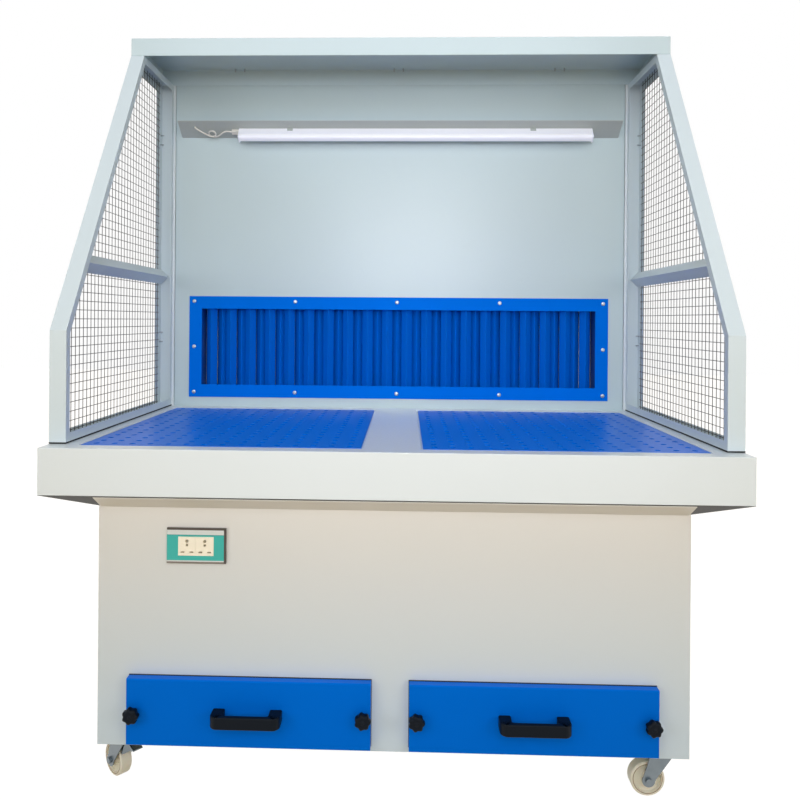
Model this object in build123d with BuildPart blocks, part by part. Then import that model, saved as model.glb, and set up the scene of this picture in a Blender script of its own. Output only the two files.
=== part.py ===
"""A downdraft grinding table: a dust extraction workbench with a hinged hood and side wings.

Millimetres, +Z up, front towards -Y, origin on the floor under the middle of the whole thing.
Air goes down through two perforated panels and back through a slotted spark trap. Both streams
meet in the cabinet, drop their dust into two drawers and leave through filter cartridges, a fan
and a rear outlet.
"""

import os
from math import cos, pi, radians, sin, sqrt, tan

from build123d import *

os.makedirs("parts", exist_ok=True)

# Sheet, clearances and the overrun of every cut
sheet = 2.0
thin_sheet = 1.5
seat_gap = 0.3
pin_clearance = 0.05
hole_clearance = 0.25
overrun = 5.0

# Table top with its skirt, and the two openings for the perforated panels
table_width = 1400.0
table_depth = 955.0
work_height = 715.0
skirt_height = 94.0
housing_front = 740.0
housing_lip = 41.5
housing_seam = 1.5
panel_edge_from_middle = 62.5
panel_width = 569.0
panel_depth = 640.0
panel_setback = 44.0
panel_sheet = 3.0
panel_clearance = 4.0
panel_hole = 13.0
panel_pitch = 37.3
panel_hole_margin = 21.0
ledge_width = 14.0
duct_opening_width = 1200.0
duct_opening_depth = 150.0
duct_opening_setback = 30.0

# Cabinet, its casters and the shallow hopper between cabinet and skirt
caster_height = 107.0
side_overhang = 106.0
front_setback = 45.0
hopper_drop = 29.0
hopper_rim = 22.0
front_flange_side_step = 4.0

# Dust drawers
drawer_width = 490.0
drawer_height = 132.0
drawer_from_middle = 38.0
drawer_proud = 20.0
drawer_box_length = 400.0
drawer_side_margin = 28.0
drawer_edge_margin = 14.0
drawer_raise = 12.0
drawer_bend = 3.0
seal_width = 10.0
seal_proud = 1.0
runner_width = 20.0

# Bridge handles of the drawers
handle_length = 138.0
handle_reach = 38.0
handle_grip = 24.0
handle_foot = 24.0
handle_thickness = 11.0
handle_bend = 15.0
handle_round = 5.0

# Star knobs that clamp the drawers
knob_across = 34.0
knob_lobes = 7
knob_lobe_radius = 5.5
knob_height = 15.0
knob_crown = 2.0
knob_neck = 9.0
knob_neck_radius = 8.0
knob_inset = 15.0
stud_radius = 4.0
stud_length = 34.0
nut_across = 13.0
nut_height = 8.0

# Upper structure: heights above the work surface, depths behind the skirt front
wing_front = 48.0
wing_kink_height = 232.0
hood_front = 488.0
hood_bottom_height = 946.0
hood_height = 46.0
wing_face = 35.0
wing_sheet = 1.5
wing_lip = 18.0
outer_lip_front = 30.0
outer_lip_bottom = 16.0
outer_lip_rear = 50.0
seal_strip = 3.0
net_wire = 1.8
net_pitch = 42.0
net_rear_inset = 25.0
net_rear_border = 12.0
crossbar_height = 380.0
crossbar_leg = 30.0
crossbar_sheet = 3.0

# Hinges of the wings and of the hood
hinge_length = 60.0
hinge_leaf = 28.0
hinge_leaf_sheet = 2.0
hinge_barrel = 4.0
hinge_pin = 2.0
hinge_screw = 2.0
hinge_screw_inset = 15.0
hinge_screw_spacing = 27.0
hinge_screw_reach = 11.0
hinge_screw_head = 4.0
hinge_screw_head_height = 1.8
wing_hinge_heights = (203.0, 781.0)
hood_hinge_spacing = 465.0

# Lamp bracket, lamp and its lead
bracket_half_length = 638.0
bracket_low = 791.0
bracket_reach = 52.0
bracket_rise = 36.5
bracket_back_flange = 30.0
lamp_length = 1019.0
lamp_middle = 46.5
lamp_width = 22.0
lamp_depth = 37.0
lamp_back_depth = 24.0
lamp_rise = 16.0
lamp_cap = 4.0
plug_length = 22.0
plug_width = 12.0
plug_depth = 9.0
clip_places = (-314.0, 387.0)
clip_width = 16.0
clip_hook = 4.0
lead_hole_place = -593.0
lead_hole_rise = 40.0
lead_hole = 4.5
lead_diameter = 4.5
radius_share = 0.45

# Suction grille and spark trap behind it
grille_half_width = 613.0
grille_low = 27.0
grille_high = 324.0
grille_border = 37.0
grille_sheet = 3.0
grille_screw_inset = 15.0
grille_screw = 2.5
grille_screw_head = 5.8
grille_screw_head_height = 2.5
blade_pitch = 58.0
blade_width = 32.0
blade_row_step = 18.0
trap_depth = 66.0
trap_margin = 6.0

# Socket plate
socket_left = -452.5
socket_width = 120.0
socket_height = 71.0
socket_top_drop = 164.5
socket_thickness = 8.0
socket_module = 36.0
socket_module_height = 38.0
socket_module_proud = 1.5
socket_box_depth = 40.0
socket_band = 10.0
socket_high_hole = 3.4
socket_high_hole_rise = 10.0
socket_low_hole = 2.6
socket_low_hole_rise = 2.0
socket_slot_reach = 9.0
socket_slot_drop = 12.0
socket_slot_width = 8.0
socket_slot_height = 3.2

# Casters
caster_inset = 35.0
caster_front_place = 64.0
caster_rear_place = 70.0
caster_plate_length = 66.0
caster_plate_width = 62.0
caster_plate_sheet = 3.0
caster_bolt_inset = 9.0
caster_bolt = 4.0
caster_bolt_head = 6.5
caster_bolt_head_height = 4.0
caster_race_radius = 22.0
caster_race_height = 9.0
wheel_radius = 35.0
wheel_width = 25.0
wheel_hub_radius = 13.0
wheel_web = 5.0
wheel_rim_depth = 7.0
fork_inside = 32.0
fork_sheet = 3.0
fork_leg_width = 26.0
fork_crown_half = 24.0
stem_radius = 5.0
stem_head = 8.0
stem_head_height = 2.5
caster_trail = 30.0
axle_radius = 4.0
axle_head = 6.5
axle_head_height = 5.0
left_trail_angle = 139.0
right_trail_angle = 180.0
rear_fork_angle = 90.0
lever_reach = 50.0
lever_sheet = 2.5
lever_width = 22.0
lever_boss = 5.0
lever_pin = 2.0
lever_pivot_lead = 12.0
lever_pivot_drop = 11.0
shoe_reach = 29.0
shoe_width = 4.5
shoe_angle = -66.0

# Filter section inside the cabinet
chamber_wall_place = 520.0
chamber_height = 415.0
filter_radius = 118.0
filter_length = 380.0
filter_bore = 80.0
filter_cap = 12.0
filter_height = 280.0
filter_flange = 14.0

# Fan, motor and outlet
fan_place = 775.0
fan_height = 200.0
scroll_radius = 160.0
scroll_growth = 12.0
scroll_width = 130.0
scroll_outlet = 120.0
scroll_foot = 30.0
fan_inlet_radius = 85.0
impeller_radius = 140.0
impeller_width = 96.0
impeller_blades = 10
impeller_blade_turn = 30.0
impeller_hub = 24.0
blade_root_radius = 80.0
shaft_radius = 12.0
motor_radius = 75.0
motor_length = 210.0
motor_flange = 12.0
motor_fins = 12
motor_fin_depth = 6.0
outlet_collar = 30.0
outlet_louvres = 5

# Air tank and valves for cleaning the filters
tank_radius = 38.0
tank_length = 800.0
tank_place = 578.0
tank_height = 375.0
valve_radius = 26.0
valve_length = 44.0
blow_pipe_radius = 15.0
nozzle_reach = 24.0

# Rear openings with their covers
rear_opening_width = 900.0
rear_opening_height = 400.0
rear_cover_lap = 20.0
cover_screw = 3.0
cover_screw_head = 5.5
cover_screw_head_height = 3.0

# Control box on the right side of the cabinet
box_place = 560.0
box_length = 190.0
box_depth = 76.0
box_height = 240.0
box_drop = 60.0
switch_radius = 24.0
switch_height = 10.0
switch_bar = 9.0
switch_bar_height = 14.0
switch_lift = 40.0
gland_radius = 11.0
gland_length = 22.0
gland_bore = 5.5

# Places worked out from the sizes above
front_reach = handle_reach + drawer_proud - front_setback
y_front = -(table_depth + front_reach + outlet_collar) / 2 + front_reach
y_rear = y_front + table_depth
y_back_panel = y_front + housing_front
y_cabinet = y_front + front_setback
y_wing = y_front + wing_front
y_hood = y_front + hood_front
x_side = table_width / 2
x_cabinet = x_side - side_overhang
z_work = work_height
z_skirt = z_work - skirt_height
z_cabinet_top = z_skirt - hopper_drop
z_cabinet = caster_height
z_hood = z_work + hood_bottom_height
z_top = z_hood + hood_height
sides = (-1, 1)
side_names = {-1: "left", 1: "right"}


def block(x, y, z, mode=Mode.ADD):
    """A block between two places along each of x, y and z."""
    with Locations(((x[0] + x[1]) / 2, (y[0] + y[1]) / 2, (z[0] + z[1]) / 2)):
        Box(abs(x[1] - x[0]), abs(y[1] - y[0]), abs(z[1] - z[0]), mode=mode)


def rod(start, direction, length, radius, mode=Mode.ADD):
    """A round bar from start along direction."""
    plane = Plane(origin=start, z_dir=direction)
    with BuildSketch(plane) as section:
        Circle(radius)
    extrude(section.sketch, amount=length, mode=mode)


def plate(outline, plane, thickness, mode=Mode.ADD):
    """A flat outline of points on a plane, made thickness thick along the plane's normal."""
    with BuildSketch(plane) as section:
        with BuildLine():
            Polyline(*outline, close=True)
        make_face()
    extrude(section.sketch, amount=thickness, mode=mode)


def side_plane(x):
    """The plane at x with y to its right, z up and its normal along +X."""
    return Plane(origin=(x, 0, 0), x_dir=(0, 1, 0), z_dir=(1, 0, 0))


def front_plane(y):
    """The plane at y with x to its left, z up and its normal along +Y."""
    return Plane(origin=(0, y, 0), x_dir=(-1, 0, 0), z_dir=(0, 1, 0))


def inset(points, distances):
    """A convex outline, given anticlockwise, with each edge moved inwards by its own distance."""
    lines = []
    for index, distance in enumerate(distances):
        start = Vector(*points[index])
        end = Vector(*points[(index + 1) % len(points)])
        along = (end - start).normalized()
        inwards = Vector(-along.Y, along.X)
        lines.append((start + inwards * distance, along))
    moved = []
    for index, (base, along) in enumerate(lines):
        other_base, other_along = lines[index - 1]
        step = other_base - base
        turn = along.X * other_along.Y - along.Y * other_along.X
        reach = (step.X * other_along.Y - step.Y * other_along.X) / turn
        corner = base + along * reach
        moved.append((corner.X, corner.Y))
    return moved


def save(part, name):
    """Labels a finished part and writes it."""
    part.label = name
    export_step(part, "parts/" + name + ".step")


# Table top

def panel_bounds(side):
    """The x and y bounds of the perforated panel on one side."""
    near = side * panel_edge_from_middle
    far = side * (panel_edge_from_middle + panel_width)
    return (min(near, far), max(near, far)), (y_front + panel_setback, y_front + panel_setback + panel_depth)


def grown(bounds, amount):
    """Bounds moved outwards by an amount at both ends."""
    return bounds[0] - amount, bounds[1] + amount


duct_x = (-duct_opening_width / 2, duct_opening_width / 2)
duct_y = (y_back_panel + duct_opening_setback, y_back_panel + duct_opening_setback + duct_opening_depth)

with BuildPart() as table_top:
    block((-x_side, x_side), (y_front, y_rear), (z_skirt, z_work))
    block((-x_side + sheet, x_side - sheet), (y_front + sheet, y_rear - sheet), (z_skirt - overrun, z_work - sheet),
          mode=Mode.SUBTRACT)
    for side in sides:
        panel_x, panel_y = panel_bounds(side)
        opening_x = grown(panel_x, panel_clearance)
        opening_y = grown(panel_y, panel_clearance)
        ledge_top = z_work - panel_sheet - seat_gap
        block(grown(opening_x, sheet), grown(opening_y, sheet), (ledge_top - sheet, z_work - sheet))
        block(opening_x, opening_y, (ledge_top, z_work + overrun), mode=Mode.SUBTRACT)
        block(grown(panel_x, -ledge_width), grown(panel_y, -ledge_width), (z_skirt, z_work), mode=Mode.SUBTRACT)
    block(duct_x, duct_y, (z_skirt, z_work + overrun), mode=Mode.SUBTRACT)
save(table_top.part, "table_top")


# Perforated panels, which lift off their ledges

for side in sides:
    panel_x, panel_y = panel_bounds(side)
    columns = int((panel_width - 2 * panel_hole_margin) / panel_pitch) + 1
    rows = int((panel_depth - 2 * panel_hole_margin) / panel_pitch) + 1
    with BuildPart() as panel:
        with BuildSketch(Plane.XY.offset(z_work - panel_sheet)):
            with Locations((sum(panel_x) / 2, sum(panel_y) / 2)):
                Rectangle(panel_width, panel_depth)
                with GridLocations(panel_pitch, panel_pitch, columns, rows):
                    Circle(panel_hole / 2, mode=Mode.SUBTRACT)
        extrude(amount=panel_sheet)
    save(panel.part, "perforated_panel_" + side_names[side])


# Hopper, a shallow pan whose sloping sides carry the skirt on the cabinet

def hopper_form(lift):
    """The outer form of the hopper, moved up by lift."""
    with BuildPart(mode=Mode.PRIVATE) as form:
        with BuildSketch(Plane.XY.offset(z_cabinet_top + lift)):
            with Locations((0, (y_cabinet + y_rear) / 2)):
                Rectangle(2 * x_cabinet, y_rear - y_cabinet)
        with BuildSketch(Plane.XY.offset(z_skirt + lift)):
            with Locations((0, (y_front + y_rear) / 2)):
                Rectangle(table_width, table_depth)
        loft()
    return form.part


with BuildPart() as hopper:
    add(hopper_form(0))
    add(hopper_form(sheet), mode=Mode.SUBTRACT)
    block((-x_cabinet + hopper_rim, x_cabinet - hopper_rim), (y_cabinet + hopper_rim, y_rear - hopper_rim),
          (z_cabinet_top - overrun, z_skirt), mode=Mode.SUBTRACT)
    block((-x_cabinet, x_cabinet), (y_rear - sheet, y_rear), (z_cabinet_top, z_skirt))
save(hopper.part, "hopper")


# Cabinet: floor, two sides and rear wall, each its own sheet in one welded body, with their top rims

rear_opening_x = (-rear_opening_width / 2, rear_opening_width / 2)
rear_opening_z = (z_cabinet + hopper_rim, z_cabinet + hopper_rim + rear_opening_height)
chamber_front = y_front + chamber_wall_place
drawer_half_opening = drawer_width / 2 - drawer_side_margin
drawer_low = z_cabinet + drawer_raise
drawer_high = drawer_low + drawer_height
drawer_opening_z = (drawer_low + drawer_edge_margin, drawer_high - drawer_edge_margin)
box_low = drawer_opening_z[0] + seat_gap


def drawer_middle(side):
    """Where the middle of a drawer is along x."""
    return side * (drawer_from_middle + drawer_width / 2)


def caster_places():
    """Where the four casters stand, front pair first."""
    x = x_cabinet - caster_inset
    return [(side * x, y) for y in (y_cabinet + caster_front_place, y_rear - caster_rear_place) for side in sides]


def plate_holes(x, y):
    """The four bolt places of the caster plate at x, y."""
    reach_x = caster_plate_length / 2 - caster_bolt_inset
    reach_y = caster_plate_width / 2 - caster_bolt_inset
    return [(x + across * reach_x, y + along * reach_y) for across in sides for along in sides]


floor_half = x_cabinet - sheet - seat_gap
rim_half = x_cabinet - hopper_rim - seat_gap
cabinet_run = (y_cabinet + sheet, y_rear - sheet - seat_gap)
rim_z = (z_cabinet_top - sheet, z_cabinet_top)

with BuildPart() as cabinet_body:
    block((-floor_half, floor_half), cabinet_run, (z_cabinet, z_cabinet + sheet))
    for side in sides:
        block((side * (x_cabinet - sheet), side * x_cabinet), cabinet_run, (z_cabinet, z_cabinet_top))
        block((side * (x_cabinet - hopper_rim), side * x_cabinet), cabinet_run, rim_z)
    block((-x_cabinet, x_cabinet), (y_rear - sheet, y_rear), (z_cabinet, z_cabinet_top))
    block((-rim_half, rim_half), (y_rear - hopper_rim, y_rear - sheet), rim_z)
    block(rear_opening_x, (y_rear - sheet - overrun, y_rear + overrun), rear_opening_z, mode=Mode.SUBTRACT)
    for side in sides:
        for edge in sides:
            inner = drawer_middle(side) + edge * (drawer_half_opening - seat_gap - thin_sheet)
            block((inner, inner - edge * runner_width), (y_cabinet + sheet, y_cabinet + drawer_box_length),
                  (z_cabinet + sheet, box_low - seat_gap))
    for place in caster_places():
        for hole in plate_holes(*place):
            rod((*hole, z_cabinet - overrun), (0, 0, 1), sheet + 2 * overrun, caster_bolt + hole_clearance,
                mode=Mode.SUBTRACT)
save(cabinet_body.part, "cabinet_body")


# Cabinet front with the drawer openings, the clamping nuts and a top flange that laps the hopper

def knob_places():
    """The x places of the four drawer knobs, left to right."""
    reach = drawer_width / 2 - knob_inset
    return [drawer_middle(side) + edge * reach for side in sides for edge in sides]


z_knob = (drawer_low + drawer_high) / 2
socket_x = (socket_left, socket_left + socket_width)
socket_z = (z_work - socket_top_drop - socket_height, z_work - socket_top_drop)
socket_hole_x = grown(socket_x, -socket_band)
socket_hole_z = grown(socket_z, -socket_band)
lap_run = front_setback - 2 * sheet
lap_rise = lap_run * hopper_drop / front_setback

with BuildPart() as cabinet_front:
    block((-x_cabinet, x_cabinet), (y_cabinet, y_cabinet + sheet), (z_cabinet, z_cabinet_top))
    lap = [
        (y_cabinet, z_cabinet_top - sheet),
        (y_cabinet, z_cabinet_top),
        (y_cabinet - lap_run, z_cabinet_top + lap_rise),
        (y_cabinet - lap_run, z_cabinet_top + lap_rise - sheet),
    ]
    lap_half = x_cabinet - front_flange_side_step
    plate(lap, side_plane(-lap_half), 2 * lap_half)
    for side in sides:
        middle = drawer_middle(side)
        block((middle - drawer_half_opening, middle + drawer_half_opening),
              (y_cabinet - overrun, y_cabinet + overrun), drawer_opening_z, mode=Mode.SUBTRACT)
    for x in knob_places():
        with BuildSketch(front_plane(y_cabinet + sheet)) as nut_outline:
            with Locations((-x, z_knob)):
                RegularPolygon(nut_across / 2, 6, major_radius=False)
        extrude(nut_outline.sketch, amount=nut_height)
        rod((x, y_cabinet - overrun, z_knob), (0, 1, 0), nut_height + 2 * overrun, stud_radius + pin_clearance,
            mode=Mode.SUBTRACT)
    block(socket_hole_x, (y_cabinet - overrun, y_cabinet + overrun), socket_hole_z, mode=Mode.SUBTRACT)
save(cabinet_front.part, "cabinet_front")


# Rubber seals between cabinet and drawer fronts

with BuildPart() as drawer_seals:
    for side in sides:
        middle = drawer_middle(side)
        half = drawer_width / 2 + seal_proud
        seal_z = (drawer_low - seal_proud, drawer_high + seal_proud)
        block((middle - half, middle + half), (y_cabinet - sheet, y_cabinet), seal_z)
        block((middle - half + seal_width, middle + half - seal_width), (y_cabinet - overrun, y_cabinet + overrun),
              grown(seal_z, -seal_width), mode=Mode.SUBTRACT)
        for edge in sides:
            x = middle + edge * (drawer_width / 2 - knob_inset)
            rod((x, y_cabinet - overrun, z_knob), (0, 1, 0), 2 * overrun, stud_radius + 2 * hole_clearance,
                mode=Mode.SUBTRACT)
save(drawer_seals.part, "drawer_seals")


# Dust drawers: a folded front pan with the box behind it

y_face = y_cabinet - drawer_proud
y_pan_rear = y_cabinet - sheet - seat_gap

for side in sides:
    middle = drawer_middle(side)
    half = drawer_width / 2
    box_half = drawer_half_opening - seat_gap
    box_z = (box_low, drawer_opening_z[1] - seat_gap)
    with BuildPart() as drawer:
        block((middle - half, middle + half), (y_face, y_pan_rear), (drawer_low, drawer_high))
        top_bend = drawer.edges().filter_by(Axis.X).group_by(Axis.Y)[0].sort_by(Axis.Z)[-1]
        fillet(top_bend, radius=drawer_bend)
        block((middle - half + thin_sheet, middle + half - thin_sheet), (y_face + thin_sheet, y_pan_rear + overrun),
              (drawer_low + thin_sheet, drawer_high - thin_sheet), mode=Mode.SUBTRACT)
        block((middle - box_half, middle + box_half), (y_face + thin_sheet, y_face + drawer_box_length), box_z)
        block((middle - box_half + thin_sheet, middle + box_half - thin_sheet),
              (y_face + 2 * thin_sheet, y_face + drawer_box_length - thin_sheet),
              (box_low + thin_sheet, box_z[1] + overrun), mode=Mode.SUBTRACT)
        for edge in sides:
            x = middle + edge * (half - knob_inset)
            rod((x, y_face - overrun, z_knob), (0, 1, 0), drawer_proud + overrun, stud_radius + pin_clearance,
                mode=Mode.SUBTRACT)
    save(drawer.part, "drawer_" + side_names[side])


# Bridge handles, one moulding each

for side in sides:
    middle = drawer_middle(side)
    reach = handle_length / 2
    inner_reach = reach - handle_foot
    inner_depth = handle_reach - handle_thickness
    bow = [
        (reach, 0),
        (reach, handle_reach),
        (-reach, handle_reach),
        (-reach, 0),
        (-inner_reach, 0),
        (-inner_reach, inner_depth),
        (inner_reach, inner_depth),
        (inner_reach, 0),
    ]
    base = Plane(origin=(middle, y_face, z_knob - handle_grip / 2), x_dir=(-1, 0, 0), z_dir=(0, 0, 1))
    with BuildPart() as handle:
        plate(bow, base, handle_grip)
        fillet(handle.edges().filter_by(Axis.Z).group_by(Axis.Y)[1], radius=handle_round)
        fillet(handle.edges().filter_by(Axis.Z).group_by(Axis.Y)[0], radius=handle_bend)
    save(handle.part, "handle_" + side_names[side])


# Star knobs with their studs

y_knob = y_face - seat_gap

for number, x in enumerate(knob_places(), start=1):
    lobe_reach = knob_across / 2 - knob_lobe_radius
    face_plane = Plane(origin=(x, y_knob - knob_neck, z_knob), x_dir=(1, 0, 0), z_dir=(0, -1, 0))
    with BuildPart() as knob:
        with BuildSketch(face_plane):
            Circle(lobe_reach)
            with PolarLocations(lobe_reach, knob_lobes):
                Circle(knob_lobe_radius)
        extrude(amount=knob_height - knob_crown)
        rod((x, y_knob - knob_neck, z_knob), (0, -1, 0), knob_height, lobe_reach)
        rod((x, y_knob, z_knob), (0, -1, 0), knob_neck, knob_neck_radius)
        rod((x, y_knob, z_knob), (0, 1, 0), stud_length, stud_radius)
    save(knob.part, "star_knob_" + str(number))


# Chamber wall: the tube sheet of the filters, bent over the fan section as its roof

x_inside = x_cabinet - sheet
chamber_top = z_cabinet + sheet + chamber_height
filter_z = z_cabinet + filter_height

with BuildPart() as chamber_wall:
    block((-x_inside, x_inside), (chamber_front, chamber_front + sheet), (z_cabinet + sheet, chamber_top))
    block((-x_inside, x_inside), (chamber_front, y_rear - sheet), (chamber_top - sheet, chamber_top))
    for side in sides:
        rod((drawer_middle(side), chamber_front - overrun, filter_z), (0, 1, 0), 2 * overrun + sheet, filter_bore,
            mode=Mode.SUBTRACT)
save(chamber_wall.part, "chamber_wall")


# Filter cartridges: pleated body, end cap and mounting flange

with BuildPart() as filter_cartridges:
    for side in sides:
        x = drawer_middle(side)
        rod((x, chamber_front, filter_z), (0, -1, 0), filter_cap, filter_radius + filter_flange)
        rod((x, chamber_front - filter_cap, filter_z), (0, -1, 0), filter_length, filter_radius)
        rod((x, chamber_front - filter_cap - filter_length, filter_z), (0, -1, 0), filter_cap,
            filter_radius + filter_flange / 2)
        rod((x, chamber_front + overrun, filter_z), (0, -1, 0), filter_length + filter_cap + overrun, filter_bore,
            mode=Mode.SUBTRACT)
save(filter_cartridges.part, "filter_cartridges")


# Fan scroll standing on the chamber floor

fan_y = y_front + fan_place
fan_z = z_cabinet + fan_height
scroll_half = scroll_width / 2
outlet_top = fan_z + scroll_radius + scroll_growth
outlet_low = outlet_top - scroll_outlet

with BuildPart() as fan_scroll:
    with BuildSketch(side_plane(-scroll_half)) as scroll_outline:
        with Locations((fan_y, fan_z)):
            Circle(scroll_radius)
        with BuildLine():
            Polyline(
                (fan_y, outlet_top),
                (y_rear - seat_gap, outlet_top),
                (y_rear - seat_gap, outlet_low),
                (fan_y, outlet_low),
                close=True,
            )
        make_face()
    extrude(scroll_outline.sketch, amount=scroll_width)
    with BuildSketch(side_plane(-scroll_half + sheet)) as scroll_space:
        with Locations((fan_y, fan_z)):
            Circle(scroll_radius - sheet)
        with BuildLine():
            Polyline(
                (fan_y, outlet_top - sheet),
                (y_rear, outlet_top - sheet),
                (y_rear, outlet_low + sheet),
                (fan_y, outlet_low + sheet),
                close=True,
            )
        make_face()
    extrude(scroll_space.sketch, amount=scroll_width - 2 * sheet, mode=Mode.SUBTRACT)
    rod((-scroll_half - overrun, fan_y, fan_z), (1, 0, 0), 2 * overrun, fan_inlet_radius, mode=Mode.SUBTRACT)
    rod((scroll_half - overrun, fan_y, fan_z), (1, 0, 0), 2 * overrun, shaft_radius + sheet, mode=Mode.SUBTRACT)
    foot_reach = scroll_radius * 2 / 3
    for along in sides:
        foot_y = fan_y + along * foot_reach
        foot_top = fan_z - sqrt(scroll_radius ** 2 - foot_reach ** 2) + 2 * sheet
        block((-scroll_half, scroll_half), (foot_y - sheet, foot_y + sheet), (z_cabinet + sheet, foot_top))
        block((-scroll_half, scroll_half), (foot_y, foot_y + along * scroll_foot),
              (z_cabinet + sheet, z_cabinet + 2 * sheet))
    rod((-scroll_half + sheet, fan_y, fan_z), (1, 0, 0), scroll_width - 2 * sheet, scroll_radius - sheet,
        mode=Mode.SUBTRACT)
save(fan_scroll.part, "fan_scroll")


# Fan motor, flange mounted on the scroll, with its shaft

with BuildPart() as fan_motor:
    rod((scroll_half, fan_y, fan_z), (1, 0, 0), motor_flange, motor_radius + motor_flange)
    rod((scroll_half + motor_flange, fan_y, fan_z), (1, 0, 0), motor_length, motor_radius - motor_fin_depth)
    with BuildSketch(side_plane(scroll_half + motor_flange)) as fins:
        with Locations((fan_y, fan_z)):
            with PolarLocations(motor_radius - motor_fin_depth, motor_fins):
                Rectangle(2 * motor_fin_depth, motor_fin_depth / 2)
    extrude(fins.sketch, amount=motor_length * 3 / 4)
    rod((scroll_half, fan_y, fan_z), (-1, 0, 0), scroll_width - impeller_width / 2, shaft_radius)
save(fan_motor.part, "fan_motor")


# Fan impeller: back plate, front ring, blades and hub

impeller_back = scroll_half - sheet - seat_gap - (scroll_width - 2 * sheet - impeller_width) / 2
impeller_front = impeller_back - impeller_width

with BuildPart() as fan_impeller:
    rod((impeller_back, fan_y, fan_z), (-1, 0, 0), sheet, impeller_radius)
    rod((impeller_front, fan_y, fan_z), (1, 0, 0), sheet, impeller_radius)
    rod((impeller_front - overrun, fan_y, fan_z), (1, 0, 0), 2 * overrun, blade_root_radius, mode=Mode.SUBTRACT)
    rod((impeller_back, fan_y, fan_z), (-1, 0, 0), impeller_width / 2, impeller_hub)
    blade_middle = (blade_root_radius + impeller_radius) / 2 - sheet
    blade_length = impeller_radius - blade_root_radius
    with BuildSketch(side_plane(impeller_front + sheet / 2)) as blades:
        with Locations((fan_y, fan_z)):
            with PolarLocations(blade_middle, impeller_blades):
                Rectangle(blade_length, sheet, rotation=-impeller_blade_turn)
    extrude(blades.sketch, amount=impeller_width - sheet)
    rod((impeller_front - overrun, fan_y, fan_z), (1, 0, 0), impeller_width + 2 * overrun,
        shaft_radius + pin_clearance, mode=Mode.SUBTRACT)
save(fan_impeller.part, "fan_impeller")


# Rear cover of the fan section with the louvred outlet

cover_x = grown(rear_opening_x, rear_cover_lap)
cover_z = grown(rear_opening_z, rear_cover_lap)
outlet_z = (outlet_low, outlet_top)
outlet_x = (-scroll_half, scroll_half)


def cover_screw_places():
    """The x and z places of the screws around the rear cover."""
    inset_distance = rear_cover_lap / 2
    across = [cover_x[0] + inset_distance, 0, cover_x[1] - inset_distance]
    up = [cover_z[0] + inset_distance, cover_z[1] - inset_distance]
    places = [(x, z) for x in across for z in up]
    return places + [(x, sum(cover_z) / 2) for x in (across[0], across[-1])]


with BuildPart() as rear_cover:
    block(cover_x, (y_rear, y_rear + sheet), cover_z)
    block(outlet_x, (y_rear, y_rear + outlet_collar), outlet_z)
    block(grown(outlet_x, -sheet), (y_rear - overrun, y_rear + outlet_collar + overrun), grown(outlet_z, -sheet),
          mode=Mode.SUBTRACT)
    louvre_pitch = (scroll_outlet - 2 * sheet) / outlet_louvres
    for number in range(outlet_louvres):
        z = outlet_z[0] + sheet + louvre_pitch * (number + 1 / 2)
        slat = [
            (y_rear + sheet, z + louvre_pitch / 4),
            (y_rear + outlet_collar - sheet, z - louvre_pitch / 4),
            (y_rear + outlet_collar - sheet, z - louvre_pitch / 4 + thin_sheet),
            (y_rear + sheet, z + louvre_pitch / 4 + thin_sheet),
        ]
        plate(slat, side_plane(outlet_x[0] + sheet / 2), outlet_x[1] - outlet_x[0] - sheet)
    for x, z in cover_screw_places():
        rod((x, y_rear - overrun, z), (0, 1, 0), sheet + 2 * overrun, cover_screw + hole_clearance,
            mode=Mode.SUBTRACT)
save(rear_cover.part, "rear_cover")

with BuildPart() as rear_cover_screws:
    for x, z in cover_screw_places():
        rod((x, y_rear + sheet, z), (0, 1, 0), cover_screw_head_height, cover_screw_head)
        rod((x, y_rear + sheet, z), (0, -1, 0), sheet, cover_screw)
save(rear_cover_screws.part, "rear_cover_screws")


# Air tank with valves and blow pipes that clean the filters

tank_y = y_front + tank_place
tank_z = z_cabinet + tank_height

with BuildPart() as pulse_tank:
    rod((-tank_length / 2, tank_y, tank_z), (1, 0, 0), tank_length, tank_radius)
    fillet(pulse_tank.edges().filter_by(GeomType.CIRCLE), radius=tank_radius / 3)
    for side in sides:
        x = drawer_middle(side)
        rod((x, tank_y, tank_z), (0, 0, -1), tank_radius + valve_length / 2, blow_pipe_radius)
        rod((x, tank_y, tank_z - tank_radius), (0, 0, -1), valve_length, valve_radius)
        rod((x, tank_y, filter_z), (0, 0, 1), tank_z - tank_radius - filter_z, blow_pipe_radius)
        rod((x, tank_y + blow_pipe_radius, filter_z), (0, -1, 0),
            tank_y + blow_pipe_radius - chamber_front - nozzle_reach, blow_pipe_radius)
    for side in sides:
        strap_x = side * tank_length * 3 / 8
        block((strap_x - tank_radius / 3, strap_x + tank_radius / 3),
              (chamber_front + sheet, tank_y), (tank_z - tank_radius / 3, tank_z + tank_radius / 3))
save(pulse_tank.part, "pulse_tank")


# Rear housing: sides, top and rear wall as one folded shell, with a lip down each front edge

with BuildPart() as housing_shell:
    block((-x_side, x_side), (y_back_panel + sheet, y_rear), (z_work, z_top))
    block((-x_side + sheet, x_side - sheet), (y_back_panel, y_rear - sheet), (z_work - overrun, z_top - sheet),
          mode=Mode.SUBTRACT)
    for side in sides:
        inner = side * (x_side - sheet - hopper_rim)
        block((inner, side * (x_side - sheet)), (y_back_panel + sheet, y_rear - sheet), (z_work, z_work + sheet))
        block((side * (x_side - housing_lip), side * x_side), (y_back_panel, y_back_panel + sheet), (z_work, z_top))
save(housing_shell.part, "housing_shell")


# The slope that the lamp hangs under, and the lamp lead's points on it

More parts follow.
